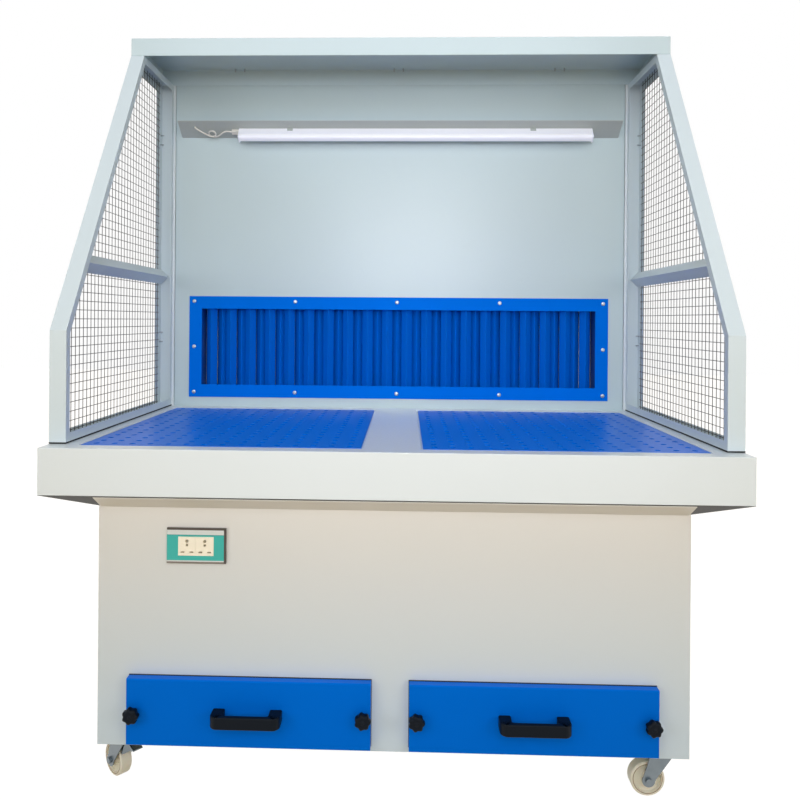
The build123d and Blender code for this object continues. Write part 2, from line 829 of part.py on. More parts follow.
slope_length = sqrt(bracket_reach ** 2 + bracket_rise ** 2)
slope_along = Vector(0, -bracket_reach / slope_length, bracket_rise / slope_length)
slope_down = Vector(0, -slope_along.Z, slope_along.Y)
bracket_root = Vector(0, y_back_panel, z_work + bracket_low)


def on_slope(x, along, down):
    """A point under the sloping plate: so far along its slope and so far down from its face."""
    point = bracket_root + slope_along * along + slope_down * down
    return Vector(x, point.Y, point.Z)


# Along x, up the slope and down from it: out of the plug, one tied loop, then through the bracket
lead_route = [
    (-485.0, 28.0, 6.0),
    (-495.0, 29.8, 5.6),
    (-505.0, 29.4, 5.0),
    (-515.0, 22.5, 4.5),
    (-524.0, 13.7, 4.0),
    (-534.0, 8.0, 4.1),
    (-545.0, 7.3, 4.0),
    (-553.0, 12.9, 4.5),
    (-555.0, 22.7, 5.5),
    (-550.0, 31.7, 7.0),
    (-541.0, 35.0, 8.5),
    (-533.5, 30.3, 9.8),
    (-532.5, 21.3, 10.6),
    (-539.0, 14.9, 10.4),
    (-550.0, 15.3, 9.5),
    (-561.0, 20.4, 8.0),
    (-572.0, 27.5, 6.6),
    (-582.0, 34.5, 5.2),
    (-589.0, 38.6, 3.4),
    (-593.0, 40.0, -2.5),
    (-593.0, 39.5, -12.0),
    (-592.5, 37.0, -22.0),
    (-592.0, 31.5, -32.0),
    (-591.5, 22.9, -40.2),
]


# Back panel with the opening behind the suction grille

trap_x = grown((-grille_half_width + grille_border, grille_half_width - grille_border), trap_margin)
trap_z = grown((z_work + grille_low + grille_border, z_work + grille_high - grille_border), trap_margin)


def grille_screw_places():
    """The x and z places of the screws around the suction grille."""
    reach = grille_half_width - grille_screw_inset
    low = z_work + grille_low + grille_screw_inset
    high = z_work + grille_high - grille_screw_inset
    places = [(reach * share, z) for share in (-1, -1 / 2, 0, 1 / 2, 1) for z in (low, high)]
    return places + [(-reach, (low + high) / 2), (reach, (low + high) / 2)]


with BuildPart() as back_panel:
    panel_half = x_side - housing_lip - housing_seam
    block((-panel_half, panel_half), (y_back_panel, y_back_panel + sheet), (z_work, z_top))
    block(trap_x, (y_back_panel - overrun, y_back_panel + overrun), trap_z, mode=Mode.SUBTRACT)
    for x, z in grille_screw_places():
        rod((x, y_back_panel - overrun, z), (0, 1, 0), sheet + 2 * overrun, grille_screw + hole_clearance,
            mode=Mode.SUBTRACT)
    lead_end = on_slope(*lead_route[-1])
    rod((lead_end.X, y_back_panel - overrun, lead_end.Z), (0, 1, 0), sheet + 2 * overrun, lead_hole,
        mode=Mode.SUBTRACT)
save(back_panel.part, "back_panel")


# Suction grille frame and its screws

with BuildPart() as suction_frame:
    block((-grille_half_width, grille_half_width), (y_back_panel - grille_sheet, y_back_panel),
          (z_work + grille_low, z_work + grille_high))
    block((-grille_half_width + grille_border, grille_half_width - grille_border),
          (y_back_panel - 2 * grille_sheet, y_back_panel + overrun),
          (z_work + grille_low + grille_border, z_work + grille_high - grille_border), mode=Mode.SUBTRACT)
    for x, z in grille_screw_places():
        rod((x, y_back_panel - overrun, z), (0, 1, 0), 2 * overrun, grille_screw + hole_clearance,
            mode=Mode.SUBTRACT)
save(suction_frame.part, "suction_frame")

with BuildPart() as suction_screws:
    for x, z in grille_screw_places():
        head = Plane(origin=(x, y_back_panel - grille_sheet, z), z_dir=(0, -1, 0))
        with BuildSketch(head) as wide:
            Circle(grille_screw_head)
        with BuildSketch(head.offset(grille_screw_head_height)) as narrow:
            Circle(grille_screw_head / 2)
        loft([wide.sketch.face(), narrow.sketch.face()])
        rod((x, y_back_panel - grille_sheet, z), (0, 1, 0), grille_sheet + 2 * sheet, grille_screw)
save(suction_screws.part, "suction_screws")


# Spark trap: a shallow case with two staggered rows of upright angle bars

def blade(x, y):
    """An upright angle bar, its ridge to the front at y and its two legs running back at 45 degrees."""
    leg = blade_width / 2
    wall = thin_sheet * sqrt(2)
    outline = [(-leg, leg), (0, 0), (leg, leg), (leg - wall, leg), (0, wall), (-leg + wall, leg)]
    bottom = Plane(origin=(x, y, trap_z[0] + thin_sheet / 2), x_dir=(1, 0, 0), z_dir=(0, 0, 1))
    plate(outline, bottom, trap_z[1] - trap_z[0] - thin_sheet)


trap_front = y_back_panel + sheet / 2
trap_rear = trap_front + trap_depth
blade_count = int((trap_x[1] - trap_x[0] - blade_width) / blade_pitch)

with BuildPart() as spark_trap:
    block(grown(trap_x, -seat_gap), (trap_front, trap_rear), grown(trap_z, -seat_gap))
    block(grown(trap_x, -seat_gap - thin_sheet), (trap_front - overrun, trap_rear + overrun),
          grown(trap_z, -seat_gap - thin_sheet), mode=Mode.SUBTRACT)
    for number in range(blade_count + 1):
        x = (number - blade_count / 2) * blade_pitch
        blade(x, trap_front + trap_margin)
    for number in range(blade_count):
        x = (number + 1 / 2 - blade_count / 2) * blade_pitch
        blade(x, trap_front + trap_margin + blade_row_step)
save(spark_trap.part, "spark_trap")


# Lamp bracket: a flange on the back panel and a plate sloping up and forward from its foot

with BuildPart() as lamp_bracket:
    section = [
        (bracket_root.Y, bracket_root.Z),
        (bracket_root.Y - bracket_reach, bracket_root.Z + bracket_rise),
        (bracket_root.Y - bracket_reach, bracket_root.Z + bracket_rise + sheet),
        (bracket_root.Y - thin_sheet, bracket_root.Z + sheet + thin_sheet * bracket_rise / bracket_reach),
        (bracket_root.Y - thin_sheet, bracket_root.Z + bracket_back_flange),
        (bracket_root.Y, bracket_root.Z + bracket_back_flange),
    ]
    plate(section, side_plane(-bracket_half_length), 2 * bracket_half_length)
    rod(on_slope(lead_hole_place, lead_hole_rise, 2 * thin_sheet), slope_down * -1, 4 * thin_sheet, lead_hole,
        mode=Mode.SUBTRACT)
save(lamp_bracket.part, "lamp_bracket")


# Lamp: back with its end caps, clear cover, plug and the clips that hold it

lamp_x = (lamp_middle - lamp_length / 2, lamp_middle + lamp_length / 2)
lamp_low = lamp_rise
lamp_high = lamp_rise + lamp_width


def lamp_slice(x, low, high, near, far, length):
    """A bar along the lamp from x: between two places up the slope and two depths under the plate."""
    outline = [on_slope(x, low, near), on_slope(x, high, near), on_slope(x, high, far), on_slope(x, low, far)]
    plate([(point.Y, point.Z) for point in outline], side_plane(x), length)


with BuildPart() as lamp_housing:
    lamp_slice(lamp_x[0], lamp_low, lamp_high, thin_sheet, lamp_back_depth, lamp_length)
    for x in (lamp_x[0], lamp_x[1] - lamp_cap):
        lamp_slice(x, lamp_low, lamp_high, thin_sheet, lamp_depth, lamp_cap)
save(lamp_housing.part, "lamp_housing")

with BuildPart() as lamp_diffuser:
    lamp_slice(lamp_x[0] + lamp_cap, lamp_low, lamp_high, lamp_back_depth, lamp_depth, lamp_length - 2 * lamp_cap)
    below_lamp = on_slope(lamp_middle, (lamp_low + lamp_high) / 2, 2 * lamp_width)
    far_edges = lamp_diffuser.edges().filter_by(Axis.X).sort_by_distance(below_lamp)
    fillet(far_edges[:2], radius=(lamp_depth - lamp_back_depth) * 2 / 3)
save(lamp_diffuser.part, "lamp_diffuser")

with BuildPart() as lamp_plug:
    plug_x, plug_rise, plug_down = lead_route[0]
    lamp_slice(lamp_x[0] - plug_length, plug_rise - plug_width / 2, plug_rise + plug_width / 2,
               plug_down - plug_depth / 2, plug_down + plug_depth / 2, plug_length)
save(lamp_plug.part, "lamp_plug")

with BuildPart() as lamp_clips:
    for x in clip_places:
        start = x - clip_width / 2
        lamp_slice(start, lamp_low - thin_sheet, lamp_high + 2 * clip_hook, 0, thin_sheet, clip_width)
        lamp_slice(start, lamp_low - thin_sheet, lamp_low, thin_sheet, lamp_back_depth / 2, clip_width)
        lamp_slice(start, lamp_high, lamp_high + thin_sheet, thin_sheet, lamp_back_depth / 2, clip_width)
        rod(on_slope(x, lamp_high + clip_hook + thin_sheet, thin_sheet), slope_down, thin_sheet, clip_hook / 2)
save(lamp_clips.part, "lamp_clips")


# Lamp lead, swept along its route

def route_radii(points):
    """The radius at each inner point, from the shorter run beside it and the tangent of half the turn."""
    radii = []
    for before, here, after in zip(points, points[1:], points[2:]):
        into = here - before
        onward = after - here
        turn = radians(into.get_angle(onward))
        radii.append(radius_share * min(into.length, onward.length) / tan(turn / 2))
    return radii


lead_points = [on_slope(*point) for point in lead_route]
lead_radii = route_radii(lead_points)
print("lead radii", [round(radius, 1) for radius in lead_radii])
with BuildPart() as lamp_lead:
    with BuildLine() as lead_path:
        FilletPolyline(*lead_points, radius=lead_radii)
    lead_wire = lead_path.wire()
    with BuildSketch(Plane(origin=lead_wire @ 0, z_dir=lead_wire % 0)):
        Circle(lead_diameter / 2)
    sweep()
lead_volume = pi * (lead_diameter / 2) ** 2 * lead_wire.length
print("lead length", round(lead_wire.length, 1), "volume share", round(lamp_lead.part.volume / lead_volume, 4))
save(lamp_lead.part, "lamp_lead")


# Hood: a shallow tray, open downwards

def hood_hinge_places():
    """The x places of the hood hinges."""
    return [-hood_hinge_spacing, 0, hood_hinge_spacing]


def wing_hinge_places():
    """The z places of the hinges of one wing."""
    return [z_work + height for height in wing_hinge_heights]


def hinge_screw_places(middle):
    """The two screw places of a hinge leaf, along the hinge."""
    return [middle + edge * hinge_screw_spacing / 2 for edge in sides]


y_hood_rear = y_back_panel - seat_gap

with BuildPart() as hood:
    block((-x_side, x_side), (y_hood, y_hood_rear), (z_hood, z_top))
    block((-x_side + sheet, x_side - sheet), (y_hood + sheet, y_hood_rear - sheet), (z_hood - overrun, z_top - sheet),
          mode=Mode.SUBTRACT)
    for middle in hood_hinge_places():
        for x in hinge_screw_places(middle):
            rod((x, y_hood_rear - hinge_screw_inset, z_top + overrun), (0, 0, -1), sheet + 2 * overrun,
                hinge_screw + hole_clearance, mode=Mode.SUBTRACT)
save(hood.part, "hood")


# Side wings: a frame bent as a channel, with a crossbar inside and a net on its outer lip

z_wing = z_work + seat_gap + seal_strip
z_wing_top = z_hood - seat_gap
y_wing_rear = y_back_panel - seat_gap
wing_outline = [
    (y_wing, z_wing),
    (y_wing_rear, z_wing),
    (y_wing_rear, z_wing_top),
    (y_hood, z_wing_top),
    (y_wing, z_work + wing_kink_height),
]
lip_outline = inset(wing_outline, [wing_lip] * len(wing_outline))
web_outline = inset(wing_outline, [wing_sheet] * len(wing_outline))
net_window = inset(wing_outline, [outer_lip_bottom, outer_lip_rear, outer_lip_front, outer_lip_front, outer_lip_front])
bar_half = crossbar_leg / sqrt(2)
bar_z = z_work + crossbar_height


net_edge = wing_sheet + seat_gap
net_outline = inset(wing_outline, [net_edge, net_rear_inset, net_edge, net_edge, net_edge])
net_inside = inset(net_outline, [net_edge, net_rear_border, net_rear_border, net_rear_border, net_rear_border])
net_centres = [
    (y_wing + net_pitch * (column + 1 / 2), z_wing + net_pitch * (row + 1 / 2))
    for row in range(int((z_wing_top - z_wing) / net_pitch))
    for column in range(int((y_wing_rear - y_wing) / net_pitch))
]

with BuildSketch() as net_gaps:
    with Locations(*net_centres):
        Rectangle(net_pitch - net_wire, net_pitch - net_wire)
    with BuildLine():
        Polyline(*net_inside, close=True)
    make_face(mode=Mode.INTERSECT)

with BuildSketch() as net_sheet:
    with BuildLine():
        Polyline(*net_outline, close=True)
    make_face()
    add(net_gaps.sketch, mode=Mode.SUBTRACT)
print("net gaps", len(net_gaps.sketch.faces()))


def slope_y(z):
    """Where the inside of the sloping front member is at height z."""
    low = web_outline[4]
    high = web_outline[3]
    return low[0] + (high[0] - low[0]) * (z - low[1]) / (high[1] - low[1])


for side in sides:
    inner_x = side * (x_side - wing_face)
    lip_x = min(inner_x, inner_x + side * wing_sheet)
    outer_lip_x = min(side * x_side, side * (x_side - wing_sheet))
    with BuildPart() as wing_frame:
        plate(wing_outline, side_plane(min(inner_x, side * x_side)), wing_face)
        plate(web_outline, side_plane(min(inner_x, side * x_side) + wing_sheet), wing_face - 2 * wing_sheet,
              mode=Mode.SUBTRACT)
        plate(lip_outline, side_plane(lip_x - overrun / 2), wing_sheet + overrun, mode=Mode.SUBTRACT)
        plate(net_window, side_plane(outer_lip_x - overrun / 2), wing_sheet + overrun, mode=Mode.SUBTRACT)
        for middle in wing_hinge_places():
            for z in hinge_screw_places(middle):
                rod((side * (x_side + overrun), y_wing_rear - hinge_screw_inset, z), (-side, 0, 0),
                    wing_sheet + 2 * overrun, hinge_screw + hole_clearance, mode=Mode.SUBTRACT)
        bar_x = side * (x_side - wing_sheet - net_wire)
        bar_front = slope_y(bar_z + bar_half)
        bar = [
            (-side * bar_x, bar_z + bar_half),
            (-side * bar_x + bar_half, bar_z),
            (-side * bar_x, bar_z - bar_half),
            (-side * bar_x, bar_z - bar_half + crossbar_sheet * sqrt(2)),
            (-side * bar_x + bar_half - crossbar_sheet * sqrt(2), bar_z),
            (-side * bar_x, bar_z + bar_half - crossbar_sheet * sqrt(2)),
        ]
        bar_plane = Plane(origin=(0, bar_front, 0), x_dir=(-side, 0, 0), z_dir=(0, side, 0))
        plate(bar, bar_plane, side * (y_wing_rear - wing_sheet - bar_front))
    save(wing_frame.part, "wing_frame_" + side_names[side])

    net_x = min(side * (x_side - wing_sheet), side * (x_side - wing_sheet - net_wire))
    with BuildPart() as wing_net:
        with BuildSketch(side_plane(net_x)) as net_face:
            add(net_sheet.sketch_local)
        extrude(net_face.sketch, amount=net_wire)
    save(wing_net.part, "wing_net_" + side_names[side])

    with BuildPart() as wing_seal:
        block((inner_x, side * x_side), (y_wing, y_wing_rear), (z_work + seat_gap, z_wing))
    save(wing_seal.part, "wing_seal_" + side_names[side])


# Hinges: moving leaves with the middle knuckle, and fixed leaves with the outer knuckles and pins

def leaf(centre, along, out, away, length, knuckles, screw_reach):
    """One hinge leaf. Its barrel is centred at centre and runs along, the leaf lies out from it
    against a face whose outward normal is away, and knuckles are spans of the barrel."""
    centre = Vector(*centre)
    along = Vector(*along)
    out = Vector(*out)
    away = Vector(*away)
    root = centre - away * (hinge_barrel + seat_gap)
    leaf_plane = Plane(origin=root - along * (length / 2), x_dir=out, z_dir=along)
    lift = 1 if (along.cross(out) - away).length < 1 else -1
    reach = hinge_barrel / 4
    strip = [(reach, 0), (hinge_leaf, 0), (hinge_leaf, lift * hinge_leaf_sheet), (reach, lift * hinge_leaf_sheet)]
    plate(strip, leaf_plane, length)
    rod(centre - along * length, along, 2 * length, hinge_barrel + seat_gap, mode=Mode.SUBTRACT)
    for low, high in knuckles:
        rod(centre + along * low, along, high - low, hinge_barrel)
        web = [(0, 0), (hinge_barrel + sheet, 0), (hinge_barrel + sheet, lift * hinge_leaf_sheet),
               (0, lift * hinge_leaf_sheet)]
        knuckle_plane = Plane(origin=root + along * low, x_dir=out, z_dir=along)
        plate(web, knuckle_plane, high - low)
    for edge in sides:
        place = root + along * (edge * hinge_screw_spacing / 2) + out * hinge_screw_inset
        rod(place + away * hinge_leaf_sheet, away, hinge_screw_head_height, hinge_screw_head)
        if screw_reach:
            rod(place, away * -1, screw_reach, hinge_screw)


knuckle_half = hinge_length / 6
middle_knuckle = [(-knuckle_half + seat_gap, knuckle_half - seat_gap)]
outer_knuckles = [(-hinge_length / 2, -knuckle_half), (knuckle_half, hinge_length / 2)]


def hinge_axis(side, z):
    """A point on the axis of a wing's hinge."""
    return side * (x_side + hinge_barrel + seat_gap), y_back_panel - seat_gap / 2, z


def hood_axis(x):
    """A point on the axis of the hood's hinges."""
    return x, y_back_panel - seat_gap / 2, z_top + hinge_barrel + seat_gap


def bore_barrel(centre, along):
    """The bore of a knuckle, a running fit on its pin."""
    rod(Vector(*centre) - Vector(*along) * hinge_length, along, 2 * hinge_length, hinge_pin + pin_clearance,
        mode=Mode.SUBTRACT)


for side in sides:
    with BuildPart() as wing_hinges:
        for z in wing_hinge_places():
            with BuildPart(mode=Mode.PRIVATE) as one:
                leaf(hinge_axis(side, z), (0, 0, 1), (0, -1, 0), (side, 0, 0), hinge_length, middle_knuckle,
                     hinge_screw_reach)
                bore_barrel(hinge_axis(side, z), (0, 0, 1))
            add(one.part)
    save(wing_hinges.part, "wing_hinges_" + side_names[side])

with BuildPart() as hood_hinges:
    for x in hood_hinge_places():
        with BuildPart(mode=Mode.PRIVATE) as one:
            leaf(hood_axis(x), (1, 0, 0), (0, -1, 0), (0, 0, 1), hinge_length, middle_knuckle, hinge_screw_reach)
            bore_barrel(hood_axis(x), (1, 0, 0))
        add(one.part)
save(hood_hinges.part, "hood_hinges")

with BuildPart() as fixed_hinge_leaves:
    for side in sides:
        for z in wing_hinge_places():
            with BuildPart(mode=Mode.PRIVATE) as one:
                leaf(hinge_axis(side, z), (0, 0, 1), (0, 1, 0), (side, 0, 0), hinge_length, outer_knuckles, 0)
                axis_point = Vector(*hinge_axis(side, z)) - Vector(0, 0, hinge_length / 2)
                rod(axis_point, (0, 0, 1), hinge_length, hinge_pin)
            add(one.part)
    for x in hood_hinge_places():
        with BuildPart(mode=Mode.PRIVATE) as one:
            leaf(hood_axis(x), (1, 0, 0), (0, 1, 0), (0, 0, 1), hinge_length, outer_knuckles, 0)
            axis_point = Vector(*hood_axis(x)) - Vector(hinge_length / 2, 0, 0)
            rod(axis_point, (1, 0, 0), hinge_length, hinge_pin)
        add(one.part)
save(fixed_hinge_leaves.part, "fixed_hinge_leaves")


# Socket plate with its back box, and the two socket modules

socket_middle = sum(socket_x) / 2
module_z = (sum(socket_z) / 2 - socket_module_height / 2, sum(socket_z) / 2 + socket_module_height / 2)

with BuildPart() as socket_plate:
    block(socket_x, (y_cabinet - socket_thickness, y_cabinet), socket_z)
    chamfer(socket_plate.faces().sort_by(Axis.Y)[0].edges(), length=sheet)
    block(grown(socket_hole_x, -seat_gap), (y_cabinet, y_cabinet + socket_box_depth), grown(socket_hole_z, -seat_gap))
    block(grown(socket_hole_x, -sheet), (y_cabinet - socket_thickness + sheet, y_cabinet + socket_box_depth - sheet),
          grown(socket_hole_z, -sheet), mode=Mode.SUBTRACT)
    block((socket_middle - socket_module, socket_middle + socket_module),
          (y_cabinet - socket_thickness - overrun, y_cabinet), module_z, mode=Mode.SUBTRACT)
save(socket_plate.part, "socket_plate")

with BuildPart() as socket_modules:
    for side in sides:
        inner = socket_middle + side * seat_gap / 2
        outer = socket_middle + side * (socket_module - seat_gap / 2)
        module_back = y_cabinet - socket_thickness + sheet
        block((inner, outer), (module_back - sheet - socket_module_proud, module_back),
              grown(module_z, -seat_gap / 2))
        block((inner, outer), (module_back, y_cabinet + socket_box_depth / 2), grown(module_z, sheet))
        x = (inner + outer) / 2
        z = sum(module_z) / 2
        hole_y = (y_cabinet - 2 * socket_thickness, y_cabinet + socket_thickness)
        for rise, radius in ((socket_high_hole_rise, socket_high_hole), (socket_low_hole_rise, socket_low_hole)):
            rod((x, hole_y[0], z + rise), (0, 1, 0), hole_y[1] - hole_y[0], radius, mode=Mode.SUBTRACT)
        for edge in sides:
            slot_x = x + edge * socket_slot_reach
            slot_z = z - socket_slot_drop
            block((slot_x - socket_slot_width / 2, slot_x + socket_slot_width / 2), hole_y,
                  (slot_z - socket_slot_height / 2, slot_z + socket_slot_height / 2), mode=Mode.SUBTRACT)
save(socket_modules.part, "socket_modules")


# Casters: plates, swivelling forks in front, fixed forks behind, wheels and brake levers

z_plate = z_cabinet - caster_plate_sheet
z_race = z_plate - caster_race_height
trail_angles = {-1: left_trail_angle, 1: right_trail_angle}


def caster_bolts(x, y):
    """The bolts of one caster plate."""
    for hole in plate_holes(x, y):
        rod((*hole, z_plate - caster_bolt_head_height), (0, 0, 1), caster_bolt_head_height, caster_bolt_head)
        rod((*hole, z_plate), (0, 0, 1), caster_plate_sheet + sheet, caster_bolt)


with BuildPart() as caster_plates:
    for x, y in caster_places()[:2]:
        block((x - caster_plate_length / 2, x + caster_plate_length / 2),
              (y - caster_plate_width / 2, y + caster_plate_width / 2), (z_plate, z_cabinet))
        rod((x, y, z_race), (0, 0, 1), caster_race_height, caster_race_radius)
        rod((x, y, z_race), (0, 0, -1), fork_sheet + seat_gap, stem_radius)
        rod((x, y, z_race - fork_sheet - seat_gap), (0, 0, -1), stem_head_height, stem_head)
        caster_bolts(x, y)
save(caster_plates.part, "caster_plates")


def fork_plane(x, y, angle, across):
    """A plane square to the axle, across from the wheel's middle, with the trail direction right."""
    trail = Vector(cos(radians(angle)), sin(radians(angle)), 0)
    axle = Vector(-trail.Y, trail.X, 0)
    origin = Vector(x, y, 0) + axle * across
    return Plane(origin=origin, x_dir=trail, z_dir=axle)


def fork(x, y, angle, trail, top, stem_hole):
    """Two legs, a crown under top, and the axle bolt with its head and nut."""
    half = fork_inside / 2
    for leg_side in sides:
        start = half if leg_side > 0 else -half - fork_sheet
        leg = fork_plane(x, y, angle, start)
        with BuildSketch(leg) as outline:
            with BuildLine():
                Polyline(
                    (-fork_crown_half, -leg_sign(leg) * (top - fork_sheet)),
                    (fork_crown_half, -leg_sign(leg) * (top - fork_sheet)),
                    (trail + fork_leg_width / 2, -leg_sign(leg) * wheel_radius),
                    (trail - fork_leg_width / 2, -leg_sign(leg) * wheel_radius),
                    close=True,
                )
            make_face()
            with Locations((trail, -leg_sign(leg) * wheel_radius)):
                Circle(fork_leg_width / 2)
        extrude(outline.sketch, amount=fork_sheet)
    crown = Plane(origin=(x, y, top - fork_sheet), x_dir=(cos(radians(angle)), sin(radians(angle)), 0))
    with BuildSketch(crown) as crown_outline:
        Rectangle(2 * fork_crown_half, fork_inside + 2 * fork_sheet)
    extrude(crown_outline.sketch, amount=fork_sheet)
    if stem_hole:
        rod((x, y, top - fork_sheet - overrun), (0, 0, 1), 3 * overrun, stem_hole, mode=Mode.SUBTRACT)
    grip = fork_plane(x, y, angle, -half - fork_sheet)
    axle_start = grip.origin + grip.x_dir * trail + Vector(0, 0, wheel_radius)
    rod(axle_start, grip.z_dir, fork_inside + 2 * fork_sheet, axle_radius)
    rod(axle_start, grip.z_dir * -1, axle_head_height, axle_head)
    rod(axle_start + grip.z_dir * (fork_inside + 2 * fork_sheet), grip.z_dir, axle_head_height, axle_head)


def leg_sign(plane):
    """-1 where the plane's second direction points up, 1 where it points down."""
    return -1 if plane.y_dir.Z > 0 else 1


def lever_axis(x, y, angle):
    """The pivot of a brake lever, ahead of the swivel axis and under the crown."""
    plane = fork_plane(x, y, angle, 0)
    return plane.origin - plane.x_dir * lever_pivot_lead + Vector(0, 0, z_race - lever_pivot_drop)


for (x, y), side in zip(caster_places(), sides):
    with BuildPart() as caster_fork:
        fork(x, y, trail_angles[side], caster_trail, z_race, stem_radius + pin_clearance)
        rod(lever_axis(x, y, trail_angles[side]) - fork_plane(x, y, trail_angles[side], 0).z_dir * fork_inside,
            fork_plane(x, y, trail_angles[side], 0).z_dir, 2 * fork_inside, lever_pin + pin_clearance,
            mode=Mode.SUBTRACT)
    save(caster_fork.part, "caster_fork_" + side_names[side])

with BuildPart() as rear_caster_forks:
    for x, y in caster_places()[2:]:
        with BuildPart(mode=Mode.PRIVATE) as one:
            fork(x, y, rear_fork_angle, 0, z_plate, 0)
            block((x - caster_plate_width / 2, x + caster_plate_width / 2),
                  (y - caster_plate_length / 2, y + caster_plate_length / 2), (z_plate, z_cabinet))
        add(one.part)
        with BuildPart(mode=Mode.PRIVATE) as bolts:
            caster_bolts(x, y)
        add(bolts.part)
save(rear_caster_forks.part, "rear_caster_forks")


def make_wheel(x, y, angle, trail, name):
    """A solid nylon wheel, dished each side around its hub."""
    middle = fork_plane(x, y, angle, 0)
    centre = middle.origin + middle.x_dir * trail + Vector(0, 0, wheel_radius)
    axle = middle.z_dir
    half = wheel_width / 2
    hub_half = fork_inside / 2 - seat_gap
    with BuildPart() as wheel:
        rod(centre - axle * half, axle, wheel_width, wheel_radius)
        chamfer(wheel.edges().filter_by(GeomType.CIRCLE), length=sheet)
        for way in sides:
            with BuildSketch(Plane(origin=centre + axle * (way * half), z_dir=axle * -way)) as dish:
                Circle(wheel_radius - wheel_rim_depth)
                Circle(wheel_hub_radius, mode=Mode.SUBTRACT)
            extrude(dish.sketch, amount=half - wheel_web, mode=Mode.SUBTRACT)
        rod(centre - axle * hub_half, axle, 2 * hub_half, wheel_hub_radius - sheet)
        rod(centre - axle * 2 * half, axle, 4 * half, axle_radius + pin_clearance, mode=Mode.SUBTRACT)
    save(wheel.part, name)


for (x, y), side in zip(caster_places(), sides):
    make_wheel(x, y, trail_angles[side], caster_trail, "wheel_front_" + side_names[side])
for (x, y), side in zip(caster_places()[2:], sides):
    make_wheel(x, y, rear_fork_angle, 0, "wheel_rear_" + side_names[side])


# Brake levers: a tread ahead of the fork, a pin through its legs and a shoe over the wheel

z_lever = z_race - lever_pivot_drop

for (x, y), side in zip(caster_places(), sides):
    middle = fork_plane(x, y, trail_angles[side], 0)
    up = -leg_sign(middle)
    shoe = Vector(cos(radians(shoe_angle)), sin(radians(shoe_angle)))
    across = Vector(-shoe.Y, shoe.X) * (shoe_width / 2)
    shoe_start = Vector(-lever_pivot_lead, z_lever)
    shoe_end = shoe_start + shoe * shoe_reach
    shoe_corners = [shoe_start + across, shoe_start - across, shoe_end - across * 2, shoe_end]
    tread = [
        (-lever_pivot_lead, z_lever + lever_boss),
        (-fork_crown_half - lever_sheet, z_lever + lever_boss + lever_sheet),
        (-lever_reach, z_lever - lever_sheet),
        (-lever_reach, z_lever - 2 * lever_sheet),
        (-fork_crown_half - lever_sheet, z_lever + lever_sheet),
        (-lever_pivot_lead, z_lever),
    ]
    with BuildPart() as lever:
        face = Plane(origin=middle.origin - middle.z_dir * (lever_width / 2), x_dir=middle.x_dir, z_dir=middle.z_dir)
        plate([(along, up * z) for along, z in tread], face, lever_width)
        plate([(corner.X, up * corner.Y) for corner in shoe_corners], face, lever_width)
        pivot = lever_axis(x, y, trail_angles[side])
        rod(pivot - middle.z_dir * (lever_width / 2), middle.z_dir, lever_width, lever_boss)
        rod(pivot - middle.z_dir * (fork_inside / 2 + fork_sheet), middle.z_dir, fork_inside + 2 * fork_sheet,
            lever_pin)
    save(lever.part, "brake_lever_" + side_names[side])


# Control box on the right side of the cabinet, its switch and cable gland

box_y = (y_front + box_place, y_front + box_place + box_length)
box_z = (z_cabinet_top - box_drop - box_height, z_cabinet_top - box_drop)
switch_z = box_z[1] - switch_lift - switch_radius
switch_y = sum(box_y) / 2
gland_y = sum(box_y) / 2

with BuildPart() as control_box:
    block((x_cabinet, x_cabinet + box_depth), box_y, box_z)
    fillet(control_box.edges().filter_by(Axis.Z).group_by(Axis.X)[-1], radius=2 * sheet)
    block((x_cabinet - overrun, x_cabinet + box_depth - thin_sheet), grown(box_y, -thin_sheet),
          grown(box_z, -thin_sheet), mode=Mode.SUBTRACT)
    rod((x_cabinet + box_depth - overrun, switch_y, switch_z), (1, 0, 0), 2 * overrun, stud_radius + hole_clearance,
        mode=Mode.SUBTRACT)
    rod((x_cabinet + box_depth / 2, gland_y, box_z[0] - overrun), (0, 0, 1), 2 * overrun, gland_bore + sheet,
        mode=Mode.SUBTRACT)
save(control_box.part, "control_box")

with BuildPart() as switch_knob:
    knob_x = x_cabinet + box_depth + seat_gap
    rod((knob_x, switch_y, switch_z), (1, 0, 0), switch_height, switch_radius)
    block((knob_x, knob_x + switch_bar_height + switch_height), (switch_y - switch_bar / 2, switch_y + switch_bar / 2),
          (switch_z - switch_radius, switch_z + switch_radius))
    rod((knob_x, switch_y, switch_z), (-1, 0, 0), 4 * overrun, stud_radius)
save(switch_knob.part, "switch_knob")

with BuildPart() as power_gland:
    gland_x = x_cabinet + box_depth / 2
    rod((gland_x, gland_y, box_z[0]), (0, 0, -1), gland_length * 2 / 3, gland_radius)
    rod((gland_x, gland_y, box_z[0] - gland_length * 2 / 3), (0, 0, -1), gland_length / 3, gland_radius * 3 / 4)
    rod((gland_x, gland_y, box_z[0]), (0, 0, 1), thin_sheet + sheet, gland_bore + sheet - pin_clearance)
    rod((gland_x, gland_y, box_z[0] - gland_length - overrun), (0, 0, 1), gland_length + 3 * overrun, gland_bore,
        mode=Mode.SUBTRACT)
save(power_gland.part, "power_gland")
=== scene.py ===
"""Grinding table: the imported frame, dressed piece by piece, on a pale floor in soft light."""

import math

import bmesh
import bpy
from mathutils import Matrix, Vector


